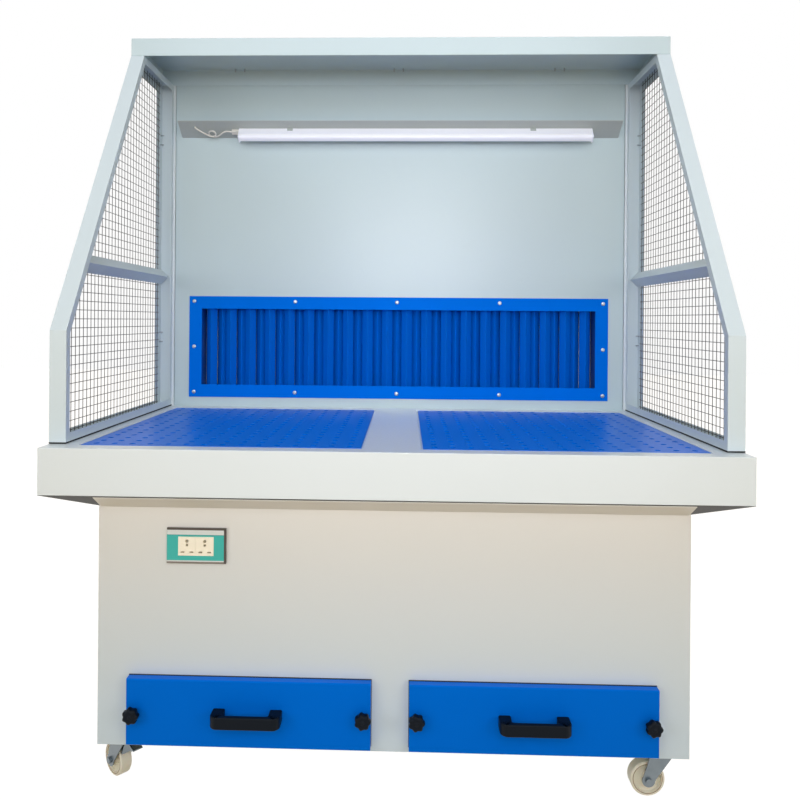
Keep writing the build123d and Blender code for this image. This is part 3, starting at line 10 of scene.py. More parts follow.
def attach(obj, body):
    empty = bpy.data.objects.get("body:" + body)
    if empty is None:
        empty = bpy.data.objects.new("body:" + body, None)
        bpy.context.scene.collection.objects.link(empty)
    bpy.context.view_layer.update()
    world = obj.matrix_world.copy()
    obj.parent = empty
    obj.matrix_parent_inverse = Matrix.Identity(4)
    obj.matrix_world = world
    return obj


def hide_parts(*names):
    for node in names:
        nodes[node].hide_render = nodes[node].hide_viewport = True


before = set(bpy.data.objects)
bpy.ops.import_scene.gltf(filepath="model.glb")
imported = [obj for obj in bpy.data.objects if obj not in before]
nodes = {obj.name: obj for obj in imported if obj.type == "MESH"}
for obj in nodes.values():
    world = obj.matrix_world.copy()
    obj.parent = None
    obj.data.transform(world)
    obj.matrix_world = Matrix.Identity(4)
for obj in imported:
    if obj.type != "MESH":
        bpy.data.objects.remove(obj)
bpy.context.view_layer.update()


# Camera: at a standing worker's eye in front of the table, turned a little to the left. The lens is
# shifted down because the picture is the upper part of a larger one.
camera_place = (0.0252, -1.945, 0.9732)
camera_turn = 0.0314
camera_roll = 0.0078
focal_pixels = 750.0
shift_right_pixels = 18.0
shift_up_pixels = -80.2
image_width = 800.0
sensor = 36.0

camera_data = bpy.data.cameras.new("camera")
camera_data.sensor_width = sensor
camera_data.lens = sensor * focal_pixels / image_width
camera_data.shift_x = shift_right_pixels / image_width
camera_data.shift_y = shift_up_pixels / image_width
camera = bpy.data.objects.new("camera", camera_data)
camera.location = camera_place
camera.rotation_euler = (math.pi / 2, -camera_roll, camera_turn)
bpy.context.collection.objects.link(camera)
bpy.context.scene.camera = camera
bpy.context.scene.view_settings.view_transform = "Standard"


# Lamp lead: a thin two-core lead in white PVC, from the moulded plug at the lamp's end. It makes one
# small tied loop and goes through the bracket into the back panel. Points: x, up the slope, down.
slope_root = Vector((0, 0.254, 1.506))
slope_along = Vector((0, -52.0, 36.5)).normalized()
slope_down = Vector((0, -slope_along.z, slope_along.y))
lead_diameter = 0.0045
lead_route = [
    (-0.4850, 0.0280, 0.0060),
    (-0.4950, 0.0298, 0.0056),
    (-0.5050, 0.0294, 0.0050),
    (-0.5150, 0.0225, 0.0045),
    (-0.5240, 0.0137, 0.0040),
    (-0.5340, 0.0080, 0.0041),
    (-0.5450, 0.0073, 0.0040),
    (-0.5530, 0.0129, 0.0045),
    (-0.5550, 0.0227, 0.0055),
    (-0.5500, 0.0317, 0.0070),
    (-0.5410, 0.0350, 0.0085),
    (-0.5335, 0.0303, 0.0098),
    (-0.5325, 0.0213, 0.0106),
    (-0.5390, 0.0149, 0.0104),
    (-0.5500, 0.0153, 0.0095),
    (-0.5610, 0.0204, 0.0080),
    (-0.5720, 0.0275, 0.0066),
    (-0.5820, 0.0345, 0.0052),
    (-0.5890, 0.0386, 0.0034),
    (-0.5930, 0.0400, -0.0025),
    (-0.5930, 0.0395, -0.0120),
    (-0.5925, 0.0370, -0.0220),
    (-0.5920, 0.0315, -0.0320),
    (-0.5915, 0.0229, -0.0402),
]


def on_slope(x, along, down):
    """A place under the lamp bracket: so far up its slope and so far down from it."""
    place = slope_root + slope_along * along + slope_down * down
    return Vector((x, place.y, place.z))


lead_curve = bpy.data.curves.new("lamp_lead_cord", "CURVE")
lead_curve.dimensions = "3D"
lead_curve.bevel_depth = lead_diameter / 2
lead_curve.bevel_resolution = 3
lead_curve.resolution_u = 8
spline = lead_curve.splines.new("NURBS")
spline.points.add(len(lead_route) - 1)
for point, place in zip(spline.points, lead_route):
    point.co = (*on_slope(*place), 1)
spline.order_u = 3
spline.use_endpoint_u = True
lead = bpy.data.objects.new("lamp_lead_cord", lead_curve)
bpy.context.collection.objects.link(lead)
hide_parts("lamp_lead")
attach(lead, "base")


def linear(hex_colour):
    """An sRGB hex colour as linear red, green, blue and alpha."""
    parts = [int(hex_colour[place:place + 2], 16) / 255 for place in (1, 3, 5)]
    return (*[part / 12.92 if part <= 0.04045 else ((part + 0.055) / 1.055) ** 2.4 for part in parts], 1)


def put(material, kind, sockets={}, **settings):
    """Adds a node. Settings are its own; a socket gets a value, or a link from another node's socket."""
    made = material.node_tree.nodes.new(kind)
    for name, value in settings.items():
        setattr(made, name, value)
    for name, value in sockets.items():
        if isinstance(value, bpy.types.NodeSocket):
            material.node_tree.links.new(value, made.inputs[name])
        else:
            made.inputs[name].default_value = value
    return made


def start_material(name):
    """A material with its shader and the object's own coordinates."""
    material = bpy.data.materials.new(name)
    material.use_nodes = True
    shader = material.node_tree.nodes["Principled BSDF"]
    coordinates = put(material, "ShaderNodeTexCoord").outputs["Object"]
    return material, shader, coordinates


def wire(material, source, socket):
    """Links one node's output to another's input."""
    material.node_tree.links.new(source, socket)


def mottled(name, scale, detail, hex_colour, hex_shade):
    """A material whose colour drifts between two tones, its shader, and the noise that it follows, with
    about as many patches to the metre as its scale."""
    material, shader, coordinates = start_material(name)
    noise = put(material, "ShaderNodeTexNoise", {"Vector": coordinates, "Scale": scale, "Detail": detail})
    tones = {0: noise.outputs["Fac"], 6: linear(hex_colour), 7: linear(hex_shade)}
    tone = put(material, "ShaderNodeMix", tones, data_type="RGBA")
    wire(material, tone.outputs[2], shader.inputs["Base Color"])
    return material, shader, noise


def dress(node, material):
    """Gives a CAD node that keeps its shape another material."""
    slots = nodes[node].data.materials
    if not slots:
        slots.append(material)
    for place in range(len(slots)):
        slots[place] = material


# PVC of the lead and its plug: white, extruded, with the faint flow marks of the die about 1 mm apart
lead_pvc, shader = mottled("extruded_pvc", 900.0, 2.0, "#EDEBE6", "#DDDAD3")[:2]
shader.inputs["Roughness"].default_value = 0.5
shader.inputs["IOR"].default_value = 1.53
lead_curve.materials.append(lead_pvc)
dress("lamp_plug", lead_pvc)


# Floor and light: a floor of pale paper, a white surround, and six soft lamps, the strongest high in
# front. Seen directly, floor and surround are white; the light that they give the table is warmer.
# The rest of the floor's white is left to the paper, which takes the table's shadow.
floor_reach = 12.0
floor_white_share = 0.78
floor_white_strength = 1.28


def finished(name, shape, material):
    """An object of one material from a bmesh, which is used up."""
    mesh = bpy.data.meshes.new(name)
    shape.to_mesh(mesh)
    shape.free()
    mesh.materials.append(material)
    made = bpy.data.objects.new(name, mesh)
    bpy.context.collection.objects.link(made)
    return made


def directly_seen(material):
    """1 for the rays that show the surround as it is, 0 for the light that it gives to the object."""
    rays = put(material, "ShaderNodeLightPath").outputs
    seen = rays["Is Camera Ray"]
    for kind in ("Is Glossy Ray", "Is Transmission Ray"):
        either = put(material, "ShaderNodeMath", {0: seen, 1: rays[kind]}, operation="ADD", use_clamp=True)
        seen = either.outputs[0]
    return seen


floor_paper, shader = start_material("white_paper")[:2]
shader.inputs["Base Color"].default_value = linear("#D6C8A8")
shader.inputs["Roughness"].default_value = 0.9
white = put(floor_paper, "ShaderNodeEmission", {"Color": linear("#FFFFFF"), "Strength": floor_white_strength})
share = put(floor_paper, "ShaderNodeMath", {0: directly_seen(floor_paper), 1: floor_white_share},
            operation="MULTIPLY")
surfaces = {0: share.outputs[0], 1: shader.outputs[0], 2: white.outputs[0]}
lit = put(floor_paper, "ShaderNodeMixShader", surfaces)
wire(floor_paper, lit.outputs[0], floor_paper.node_tree.nodes["Material Output"].inputs["Surface"])
shape = bmesh.new()
corners = [(-1, -1), (1, -1), (1, 1), (-1, 1)]
shape.faces.new([shape.verts.new((x * floor_reach, y * floor_reach, 0)) for x, y in corners])
finished("floor", shape, floor_paper)

world = bpy.data.worlds.new("studio")
bpy.context.scene.world = world
world.use_nodes = True
surround = world.node_tree.nodes["Background"]
sky = put(world, "ShaderNodeMix", {0: directly_seen(world), 6: linear("#AE9F84"), 7: linear("#FFFFFF")},
          data_type="RGBA")
wire(world, sky.outputs[2], surround.inputs["Color"])


def soft_lamp(name, place, aim, width, height, watts, hex_colour, spread=180.0):
    """A large rectangular lamp; a small spread keeps its light near the middle."""
    data = bpy.data.lights.new(name, "AREA")
    data.shape = "RECTANGLE"
    data.size = width
    data.size_y = height
    data.energy = watts
    data.color = linear(hex_colour)[:3]
    data.spread = math.radians(spread)
    lamp = bpy.data.objects.new(name, data)
    lamp.location = place
    lamp.rotation_euler = (Vector(aim) - Vector(place)).to_track_quat("-Z", "Y").to_euler()
    bpy.context.collection.objects.link(lamp)


soft_lamp("front_lamp", (-0.2, -4.2, 3.4), (0.0, 0.0, 0.9), 3.8, 1.6, 51.0, "#E4F2FF")
soft_lamp("middle_lamp", (0.1, -3.4, 1.5), (0.05, 0.25, 1.2), 0.9, 0.7, 3.4, "#F4F6FF", 50.0)
soft_lamp("right_lamp", (2.9, -3.4, 1.8), (0.6, -0.4, 0.8), 1.6, 1.6, 27.0, "#F6F8FF")
soft_lamp("left_lamp", (-2.9, -3.4, 1.8), (-0.6, -0.4, 0.8), 1.6, 1.6, 27.0, "#F6F8FF")
soft_lamp("top_lamp", (0.0, -0.8, 4.6), (0.0, -0.2, 0.8), 3.0, 2.0, 28.0, "#A8D0FF")
soft_lamp("rear_lamp", (0.6, 4.4, 2.4), (0.0, 0.4, 0.9), 2.6, 1.6, 30.0, "#E4F2FF")


# Table top, hood, rear housing, back panel and lamp bracket: folded steel sheet, powder coated in a
# pale grey. The folds are rounded by the press brake, and the coat rounds the cut edges.
peel_depth = 0.0006
peel_strength = 0.06
gloss_range = 0.05
merge_distance = 0.00002
flat_angle = math.radians(1)
fold_angle = math.radians(25)


def vary_roughness(material, shader, noise, low, high):
    """Lets a surface's roughness follow its noise."""
    gloss = put(material, "ShaderNodeMapRange", {0: noise.outputs["Fac"], 3: low, 4: high})
    wire(material, gloss.outputs[0], shader.inputs["Roughness"])


def powder_coat(name, hex_colour, hex_shade, roughness):
    """Baked powder: a fine orange peel in the gloss and a coat that drifts in tone over half a metre."""
    material, shader, drift = mottled(name, 2.2, 3.0, hex_colour, hex_shade)
    # Orange peel is 1 to 2 mm across; drawn at 4 mm, because finer would not show
    coordinates = drift.inputs["Vector"].links[0].from_socket
    peel = put(material, "ShaderNodeTexNoise", {"Vector": coordinates, "Scale": 1 / 0.004, "Detail": 2.0})
    bumps = {"Height": peel.outputs["Fac"], "Strength": peel_strength, "Distance": peel_depth}
    wire(material, put(material, "ShaderNodeBump", bumps).outputs[0], shader.inputs["Normal"])
    vary_roughness(material, shader, peel, roughness - gloss_range, roughness + gloss_range)
    shader.inputs["IOR"].default_value = 1.5
    return material


def smooth_faces(mesh):
    """Shades every face of a mesh smooth."""
    for polygon in mesh.polygons:
        polygon.use_smooth = True


def sheet_copy(node, body, material, edge, steps=2, shortest=0.003):
    """A copy of a CAD node in its place, its triangles merged and its edges rounded. The short edges
    around small holes stay sharp."""
    shape = bmesh.new()
    shape.from_mesh(nodes[node].data)
    bmesh.ops.remove_doubles(shape, verts=shape.verts, dist=merge_distance)
    bmesh.ops.dissolve_limit(shape, angle_limit=flat_angle, verts=shape.verts, edges=shape.edges,
                             delimit={"NORMAL"})
    bmesh.ops.triangulate(shape, faces=shape.faces)
    weight = shape.edges.layers.float.new("bevel_weight_edge")
    for line in shape.edges:
        if line.is_manifold and line.calc_face_angle() > fold_angle:
            long_enough = line.calc_length() > shortest
            line[weight] = long_enough
            line.smooth = long_enough
    piece = finished(node + "_folded", shape, material)
    smooth_faces(piece.data)
    rounded = piece.modifiers.new("rounded", "BEVEL")
    rounded.width = edge
    rounded.segments = steps
    rounded.limit_method = "WEIGHT"
    rounded.face_strength_mode = "FSTR_ALL"
    flat = piece.modifiers.new("flat_faces", "WEIGHTED_NORMAL")
    flat.keep_sharp = True
    flat.use_face_influence = True
    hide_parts(node)
    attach(piece, body)


pale_coat = powder_coat("powder_coat_pale_grey", "#E4EBEE", "#DEE6E9", 0.24)
sheet_copy("table_top", "base", pale_coat, 0.0012)
sheet_copy("housing_shell", "base", pale_coat, 0.0012)
# Painted shade: the hood is drawn darker and bluer than the pale coat, for the shade under it
hood_coat_painted_shade = powder_coat("powder_coat_hood_painted_shade", "#CADCE2", "#C4D6DD", 0.24)
sheet_copy("hood", "hood", hood_coat_painted_shade, 0.0012)
# Painted shade: the bracket and its clips are drawn darker than the pale coat, for the hood's shade
bracket_coat_painted_shade = powder_coat("powder_coat_lamp_bracket_painted_shade", "#B4BBBB", "#ABB3B3", 0.45)
sheet_copy("lamp_bracket", "base", bracket_coat_painted_shade, 0.0005)
dress("lamp_clips", bracket_coat_painted_shade)
# Painted shade: the back panel is drawn darker than the pale coat, for the recess under the hood
back_coat_painted_shade = powder_coat("powder_coat_back_panel_painted_shade", "#BED0D4", "#B6C8CE", 0.34)
dress("back_panel", back_coat_painted_shade)


# Side frames and their crossbars: open channels folded from steel sheet and welded at the corners,
# with the same powder coat, drawn a shade darker all over as painted shade for the open channels
wing_coat_painted_shade = powder_coat("powder_coat_side_frame_painted_shade", "#D4E0E5", "#CEDBE0", 0.34)
for side in ("left", "right"):
    sheet_copy("wing_frame_" + side, "wing_" + side, wing_coat_painted_shade, 0.0005)


# Nets: welded netting of drawn steel wire, 20 mm squares, tacked inside the outer lip of each frame.
# The level wires lie outside the upright ones.
net_pitch = 0.020
net_wire = 0.0008
lip_inside = 0.6985
net_outline = [(-0.4362, 0.7201), (0.2287, 0.7201), (0.2287, 1.6589), (0.0030, 1.6589), (-0.4362, 0.9465)]


def net_span(place, across):
    """Where a straight wire enters and leaves the net's outline; across is 0 for upright, 1 for level."""
    crossings = []
    for start, end in zip(net_outline, net_outline[1:] + net_outline[:1]):
        low, high = sorted((start[across], end[across]))
        if low < place <= high:
            share = (place - start[across]) / (end[across] - start[across])
            crossings.append(start[1 - across] + (end[1 - across] - start[1 - across]) * share)
    return sorted(crossings)


drawn_wire, shader = mottled("drawn_steel_wire", 60.0, 3.0, "#4C4845", "#6C6864")[:2]
shader.inputs["Metallic"].default_value = 0.7
shader.inputs["Roughness"].default_value = 0.5

for side, sign in (("left", -1), ("right", 1)):
    shape = bmesh.new()
    for across, wires_inside in ((0, 3), (1, 1)):
        first = min(corner[across] for corner in net_outline) + net_pitch / 2
        last = max(corner[across] for corner in net_outline)
        x = sign * (lip_inside - net_wire * wires_inside)
        for number in range(int((last - first) / net_pitch) + 1):
            place = first + number * net_pitch
            span = net_span(place, across)
            if len(span) < 2 or span[1] - span[0] < net_pitch / 2:
                continue
            middle = (span[0] + span[1]) / 2
            if across == 0:
                seat = Matrix.Translation((x, place, middle))
            else:
                seat = Matrix.Translation((x, middle, place)) @ Matrix.Rotation(math.pi / 2, 4, "X")
            bmesh.ops.create_cone(shape, cap_ends=True, segments=6, radius1=net_wire, radius2=net_wire,
                                  depth=span[1] - span[0], matrix=seat)
    net = finished("net_" + side, shape, drawn_wire)
    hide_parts("wing_net_" + side)
    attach(net, "wing_" + side)


# Seals: black EPDM strip under the side frames and behind the drawer fronts, extruded and cut to
# length. Matt, with a trace of chalk in spots of about 4 mm.
epdm, shader = mottled("extruded_epdm", 1 / 0.004, 3.0, "#101112", "#222425")[:2]
shader.inputs["Roughness"].default_value = 0.75
for node in ("wing_seal_left", "wing_seal_right", "drawer_seals"):
    dress(node, epdm)


# Zinc plated steel: hinges and screws. Pressed or turned, then barrel plated, which leaves a bluish
# metal with soft cloudy patches, some 20 mm across.
zinc, shader, cloud = mottled("zinc_plated_steel", 45.0, 4.0, "#9FA6AB", "#C3C8CB")
vary_roughness(zinc, shader, cloud, 0.26, 0.44)
shader.inputs["Metallic"].default_value = 1.0
for node in ("hood_hinges", "wing_hinges_left", "wing_hinges_right", "fixed_hinge_leaves",
             "rear_cover_screws"):
    dress(node, zinc)


# Perforated panels, grille frame and spark trap: punched and folded steel in a satin signal blue. The
# blue binder is soft, with a weaker and bluer gloss than the pale coat, least so on the spark trap.
blue_coat = powder_coat("powder_coat_signal_blue", "#0070E3", "#006AD9", 0.36)
# Painted shade: the spark trap is drawn a darker blue, for the shade among its bars
trap_coat_painted_shade = powder_coat("powder_coat_spark_trap_painted_shade", "#0066D0", "#0060C6", 0.30)
for coat, specular_level in ((blue_coat, 0.16), (trap_coat_painted_shade, 0.35)):
    shader = coat.node_tree.nodes["Principled BSDF"]
    shader.inputs["Specular IOR Level"].default_value = specular_level
    shader.inputs["Specular Tint"].default_value = linear("#2F8CFF")
for node in ("perforated_panel_left", "perforated_panel_right"):
    dress(node, blue_coat)
sheet_copy("spark_trap", "base", trap_coat_painted_shade, 0.0014)
sheet_copy("suction_frame", "base", blue_coat, 0.0006)


# Grille screws: twelve button heads with a hexagon socket, turned from steel, zinc plated and driven
# through the frame. The profile is a head's half section: out from its axis, up from the frame.
screw_low = 0.757
screw_high = 1.024
screw_reach = 0.598
screw_middle = (screw_low + screw_high) / 2
screw_places = [(screw_reach * share, z) for share in (-1, -0.5, 0, 0.5, 1) for z in (screw_low, screw_high)]
screw_places += [(-screw_reach, screw_middle), (screw_reach, screw_middle)]
screw_face = 0.251
screw_profile = [(0.0058, 0.0), (0.0058, 0.0006), (0.0051, 0.0017), (0.0036, 0.0024), (0.0019, 0.0025)]
socket_floor_radius = 0.0017
socket_rim_radius, head_height = screw_profile[-1]
socket_depth = 0.0012
shape = bmesh.new()
for x, z in screw_places:
    seat = Matrix.Translation((x, screw_face, z)) @ Matrix.Rotation(math.pi / 2, 4, "X")
    ring = [shape.verts.new(seat @ Vector((along, 0, up))) for along, up in screw_profile]
    edges = [shape.edges.new(pair) for pair in zip(ring, ring[1:])]
    bmesh.ops.spin(shape, geom=ring + edges, cent=seat.translation, axis=seat.to_3x3() @ Vector((0, 0, 1)),
                   angle=2 * math.pi, steps=24, use_merge=True)
    socket = bmesh.ops.create_cone(shape, cap_ends=True, segments=6, radius1=socket_floor_radius,
                                   radius2=socket_rim_radius, depth=socket_depth,
                                   matrix=seat @ Matrix.Translation((0, 0, head_height - socket_depth / 2)))
    top = max((face for vert in socket["verts"] for face in vert.link_faces),
              key=lambda face: (seat.inverted() @ face.calc_center_median()).z)
    bmesh.ops.delete(shape, geom=[top], context="FACES_ONLY")
    bmesh.ops.reverse_faces(shape, faces=list({face for vert in socket["verts"] for face in vert.link_faces}))
screws = finished("button_screws", shape, zinc)
smooth_faces(screws.data)
screws.data.set_sharp_from_angle(angle=math.radians(40))
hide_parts("suction_screws")
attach(screws, "base")


# Lamp: a batten with a white extruded back, moulded end caps and a frosted polycarbonate cover. Its cover
# and back glow faintly, painted light that keeps them brighter than all that the hood shades.
frosted, shader = mottled("frosted_polycarbonate", 1 / 0.0025, 2.0, "#E4E6F2", "#EEF0F8")[:2]
shader.inputs["Roughness"].default_value = 0.35
shader.inputs["IOR"].default_value = 1.58
# Painted light: a faint glow on the cover
shader.inputs["Emission Color"].default_value = linear("#E6EAFF")
shader.inputs["Emission Strength"].default_value = 0.2
sheet_copy("lamp_diffuser", "base", frosted, 0.0008)

white_back = powder_coat("painted_aluminium", "#EDEFF6", "#E6E9F2", 0.30)
shader = white_back.node_tree.nodes["Principled BSDF"]
# Painted light: a faint glow on the white back
shader.inputs["Emission Color"].default_value = linear("#F0F2FF")
shader.inputs["Emission Strength"].default_value = 0.1
sheet_copy("lamp_housing", "base", white_back, 0.0006)


# Black mouldings: glass filled nylon handles and knobs and the cable gland, with the fine
# spark-eroded grain of their moulds. The grain is about 0.3 mm; drawn at 1.2 mm, because finer would
# not show.
black_nylon, shader, grain = mottled("moulded_black_nylon", 1 / 0.0012, 2.0, "#060C14", "#0D151F")
grain_bumps = {"Height": grain.outputs["Fac"], "Strength": 0.25, "Distance": 0.0002}
wire(black_nylon, put(black_nylon, "ShaderNodeBump", grain_bumps).outputs[0], shader.inputs["Normal"])
shader.inputs["Roughness"].default_value = 0.42
shader.inputs["IOR"].default_value = 1.53
shader.inputs["Specular IOR Level"].default_value = 0.1
dress("power_gland", black_nylon)


# Cabinet, its covers and its switch box: folded sheet in a light grey, drawn warm under the table and
# cooler towards the floor as painted light and shade. The shallow hopper above it and the wall inside are a
# matt dark grey, painted shade for the hopper's shadowed underside.
painted_cool_light_below = 0.15
painted_warm_shade_above = 0.60
cabinet_coat = powder_coat("powder_coat_grey_painted_warm_and_cool", "#DFDBD4", "#DAD7D1", 0.42)
shader = cabinet_coat.node_tree.nodes["Principled BSDF"]
warm = shader.inputs["Base Color"].links[0].from_socket
# Painted light and shade: the coat's warm tone high up, in the table's shade, turns to a cool tint towards
# the floor, where the lamps reach
coordinates = put(cabinet_coat, "ShaderNodeTexCoord").outputs["Object"]
place = put(cabinet_coat, "ShaderNodeSeparateXYZ", {0: coordinates})
height = put(cabinet_coat, "ShaderNodeMapRange", {0: place.outputs["Z"], 1: painted_cool_light_below, 2: painted_warm_shade_above})
tones = {0: height.outputs[0], 6: linear("#CFDEE9"), 7: warm}
tone = put(cabinet_coat, "ShaderNodeMix", tones, data_type="RGBA")
wire(cabinet_coat, tone.outputs[2], shader.inputs["Base Color"])
for node in ("cabinet_front", "cabinet_body", "rear_cover", "control_box"):
    sheet_copy(node, "base", cabinet_coat, 0.0008)
# Painted shade: the hopper lies in shadow under the table's edge and is drawn dark grey; the wall inside gets
# the same coat
hopper_painted_shade_coat = powder_coat("powder_coat_dark_grey_painted_shade", "#4A4A48", "#424241", 0.55)
dress("hopper", hopper_painted_shade_coat)
dress("chamber_wall", hopper_painted_shade_coat)


# Drawers: fronts and boxes folded from one kind of sheet and powder coated in the same blue. They
# slide in the cabinet's front.
for side in ("left", "right"):
    sheet_copy("drawer_" + side, "drawer_" + side, blue_coat, 0.0007)


# Handles: one moulding of black nylon each, screwed on from behind the drawer front, with all its
# corners well rounded
for side in ("left", "right"):
    sheet_copy("handle_" + side, "drawer_" + side, black_nylon, 0.0026, steps=4, shortest=0)


# Star knobs: moulded in black nylon with seven lobes around a shallow crown, a round hub behind them
# and a stud. The crown rises in steps, each with the scale that its outline takes.
knob_places = (-0.513, -0.053, 0.053, 0.513)
knob_axis_height = 0.185
knob_face = -0.4613
knob_radius = 0.0141
lobes = 7
lobe_depth = 0.085
hub_radius = 0.008
hub_front_radius = 0.0085
hub_length = 0.0095
lobes_start = 0.009
stud_radius = 0.004
stud_length = 0.034
crown_steps = [(0.0015, 1.07), (0.0085, 1.0), (0.0022, 0.95), (0.0018, 0.84), (0.0006, 0.7), (-0.001, 0.6),
               (0.0015, 0.42), (0.0004, 0.30)]
for number, x in enumerate(knob_places, start=1):
    seat = Matrix.Translation((x, knob_face, knob_axis_height)) @ Matrix.Rotation(math.pi / 2, 4, "X")
    shape = bmesh.new()
    bmesh.ops.create_circle(shape, cap_ends=True, segments=84, radius=knob_radius)
    for vert in shape.verts:
        turn = math.atan2(vert.co.y, vert.co.x)
        vert.co *= 1 + lobe_depth * math.cos(lobes * turn)
    bmesh.ops.translate(shape, verts=shape.verts, vec=(0, 0, lobes_start))
    for rise, shrink in crown_steps:
        face = max(shape.faces, key=lambda face: face.calc_center_median().z if len(face.verts) > 4 else -1)
        grown = bmesh.ops.extrude_discrete_faces(shape, faces=[face])["faces"]
        middle = grown[0].calc_center_median()
        bmesh.ops.translate(shape, verts=grown[0].verts, vec=(0, 0, rise))
        bmesh.ops.scale(shape, verts=grown[0].verts, vec=(shrink, shrink, 1),
                        space=Matrix.Translation(-middle))
    bmesh.ops.create_cone(shape, cap_ends=True, segments=32, radius1=hub_radius, radius2=hub_front_radius,
                          depth=hub_length, matrix=Matrix.Translation((0, 0, hub_length / 2)))
    bmesh.ops.create_cone(shape, cap_ends=True, segments=24, radius1=stud_radius, radius2=stud_radius,
                          depth=stud_length, matrix=Matrix.Translation((0, 0, -stud_length / 2)))
    bmesh.ops.transform(shape, matrix=seat, verts=shape.verts)
    bmesh.ops.recalc_face_normals(shape, faces=shape.faces)
    knob = finished("knob_moulding_%d" % number, shape, black_nylon)
    smooth_faces(knob.data)
    knob.data.set_sharp_from_angle(angle=math.radians(38))
    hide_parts("star_knob_%d" % number)
    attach(knob, "knob_%d" % number)


# Casters: forks, plates and brake levers pressed from thick steel and drawn in a dark, cloudy zinc, dark
# as painted shade for the shadow under the cabinet, and wheels moulded in ivory nylon. The tread is pressed
# over the rim, and a thin tan ring is drawn at the joint.
joint_radius = 0.0296
joint_half_width = 0.0009
# Painted shade: the zinc is drawn dark for the shadow under the cabinet
caster_zinc_painted_shade, shader, cloud = mottled("caster_steel_drawn_dark_painted_shade", 60.0, 4.0, "#70787D", "#868E92")
vary_roughness(caster_zinc_painted_shade, shader, cloud, 0.30, 0.46)
shader.inputs["Metallic"].default_value = 1.0
for side in ("left", "right"):
    sheet_copy("caster_fork_" + side, "caster_" + side, caster_zinc_painted_shade, 0.0009)
    sheet_copy("brake_lever_" + side, "lever_" + side, caster_zinc_painted_shade, 0.0006)
sheet_copy("rear_caster_forks", "base", caster_zinc_painted_shade, 0.0009)
sheet_copy("caster_plates", "base", caster_zinc_painted_shade, 0.0009)

wheels = [
    ("wheel_front_left", (-0.5816, -0.3573, 0.035), (-0.6561, -0.7547, 0)),
    ("wheel_front_right", (0.529, -0.377, 0.035), (0, 1, 0)),
    ("wheel_rear_left", (-0.559, 0.399, 0.035), (1, 0, 0)),
    ("wheel_rear_right", (0.559, 0.399, 0.035), (1, 0, 0)),
]
for node, centre, axle in wheels:
    ivory_nylon, shader, scuff = mottled("moulded_ivory_nylon", 30.0, 4.0, "#F0EDE0", "#E4E0D0")
    clean = shader.inputs["Base Color"].links[0].from_socket
    coordinates = scuff.inputs["Vector"].links[0].from_socket
    reach = put(ivory_nylon, "ShaderNodeVectorMath", {0: coordinates, 1: centre}, operation="SUBTRACT")
    reach = put(ivory_nylon, "ShaderNodeVectorMath", {0: reach.outputs[0], 1: axle},
                operation="CROSS_PRODUCT")
    reach = put(ivory_nylon, "ShaderNodeVectorMath", {0: reach.outputs[0]}, operation="LENGTH")
    # A thin tan ring is drawn where the tread meets the rim
    joint = {0: reach.outputs["Value"], 1: joint_radius, 2: joint_half_width}
    ring = put(ivory_nylon, "ShaderNodeMath", joint, operation="COMPARE")
    tones = {0: ring.outputs[0], 6: clean, 7: linear("#8F7B60")}
    tone = put(ivory_nylon, "ShaderNodeMix", tones, data_type="RGBA")
    wire(ivory_nylon, tone.outputs[2], shader.inputs["Base Color"])
    shader.inputs["Roughness"].default_value = 0.42
    shader.inputs["IOR"].default_value = 1.53
    shader.inputs["Subsurface Weight"].default_value = 0.1
    shader.inputs["Subsurface Scale"].default_value = 0.004
    dress(node, ivory_nylon)


# Double socket: a plate moulded in ABS, teal with bright bands above and below and painted shade along its
# right edge, and two ivory modules snapped into it. The bands are given by their place in the plate's height.
socket_right = -0.3325
socket_low = 0.4795
socket_high = 0.5505
painted_shade_width = 0.0036
plate_bands = [(0.055, "#D2D6D4"), (0.09, "#35B0A8"), (0.80, "#1F8F8C"), (0.82, "#D2D6D4"),
               (0.95, "#4A4038")]


def moulded_gloss(material, shader, coordinates, low, high):
    """The gloss of a plain moulding, which follows the flow marks of the plastic, about 8 mm apart."""
    flow = put(material, "ShaderNodeTexNoise", {"Vector": coordinates, "Scale": 120.0, "Detail": 2.0})
    vary_roughness(material, shader, flow, low, high)


plate_abs, shader, coordinates = start_material("moulded_teal_abs")
place = put(plate_abs, "ShaderNodeSeparateXYZ", {0: coordinates})
up = put(plate_abs, "ShaderNodeMapRange", {0: place.outputs["Z"], 1: socket_low, 2: socket_high})
bands = put(plate_abs, "ShaderNodeValToRGB", {0: up.outputs[0]})
bands.color_ramp.interpolation = "CONSTANT"
for stop, hex_colour in plate_bands:
    bands.color_ramp.elements.new(stop).color = linear(hex_colour)
bands.color_ramp.elements[0].color = linear("#7A7066")
bands.color_ramp.elements[-1].color = linear("#4A4038")
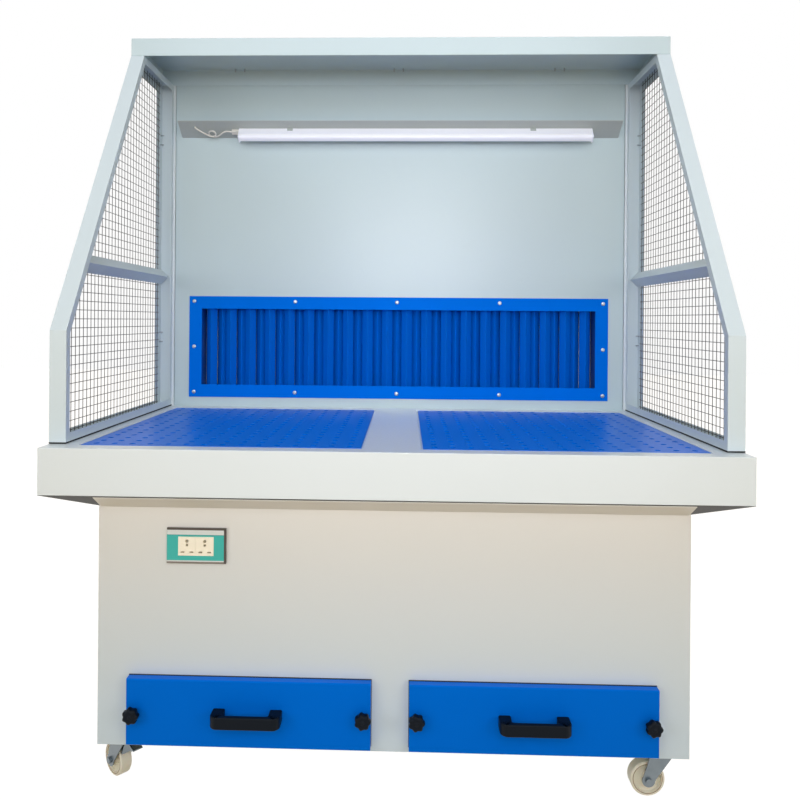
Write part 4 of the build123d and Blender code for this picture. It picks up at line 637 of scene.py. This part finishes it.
# Painted shade: a dark strip along the plate's right edge, which lies in shade
painted_shade_edge = {0: place.outputs["X"], 1: socket_right - painted_shade_width}
edge = put(plate_abs, "ShaderNodeMath", painted_shade_edge, operation="GREATER_THAN")
tones = {0: edge.outputs[0], 6: bands.outputs["Color"], 7: linear("#4A4038")}
tone = put(plate_abs, "ShaderNodeMix", tones, data_type="RGBA")
wire(plate_abs, tone.outputs[2], shader.inputs["Base Color"])
moulded_gloss(plate_abs, shader, coordinates, 0.28, 0.38)
dress("socket_plate", plate_abs)
ivory_abs, shader, coordinates = start_material("moulded_ivory_abs")
shader.inputs["Base Color"].default_value = linear("#F8F0DC")
moulded_gloss(ivory_abs, shader, coordinates, 0.25, 0.35)
dress("socket_modules", ivory_abs)


# Inside the cabinet: the fan and the air tank of galvanised sheet with 12 mm spangle, an enamelled
# motor, and filter cartridges pleated from spunbond polyester, whose fibres are drawn about 2 mm wide
galvanised, shader, coordinates = start_material("galvanised_sheet")
spangle = put(galvanised, "ShaderNodeTexVoronoi", {"Vector": coordinates, "Scale": 1 / 0.012})
tones = {0: spangle.outputs["Color"], 6: linear("#8E9497"), 7: linear("#B9BEC0")}
tone = put(galvanised, "ShaderNodeMix", tones, data_type="RGBA")
wire(galvanised, tone.outputs[2], shader.inputs["Base Color"])
shader.inputs["Metallic"].default_value = 1.0
shader.inputs["Roughness"].default_value = 0.42
for node in ("fan_scroll", "fan_impeller", "pulse_tank"):
    dress(node, galvanised)
dress("fan_motor", powder_coat("motor_enamel", "#4B5A66", "#43515C", 0.45))

cloth, shader = mottled("spunbond_polyester", 600.0, 4.0, "#E4E0D4", "#CFCABB")[:2]
shader.inputs["Roughness"].default_value = 0.9
dress("filter_cartridges", cloth)


# Switch on the control box: a turning knob moulded in red ABS, pressed on the switch's shaft. Plain
# and satin, as the socket's modules are.
red_abs, shader, coordinates = start_material("moulded_red_abs")
shader.inputs["Base Color"].default_value = linear("#A31A14")
moulded_gloss(red_abs, shader, coordinates, 0.3, 0.4)
dress("switch_knob", red_abs)
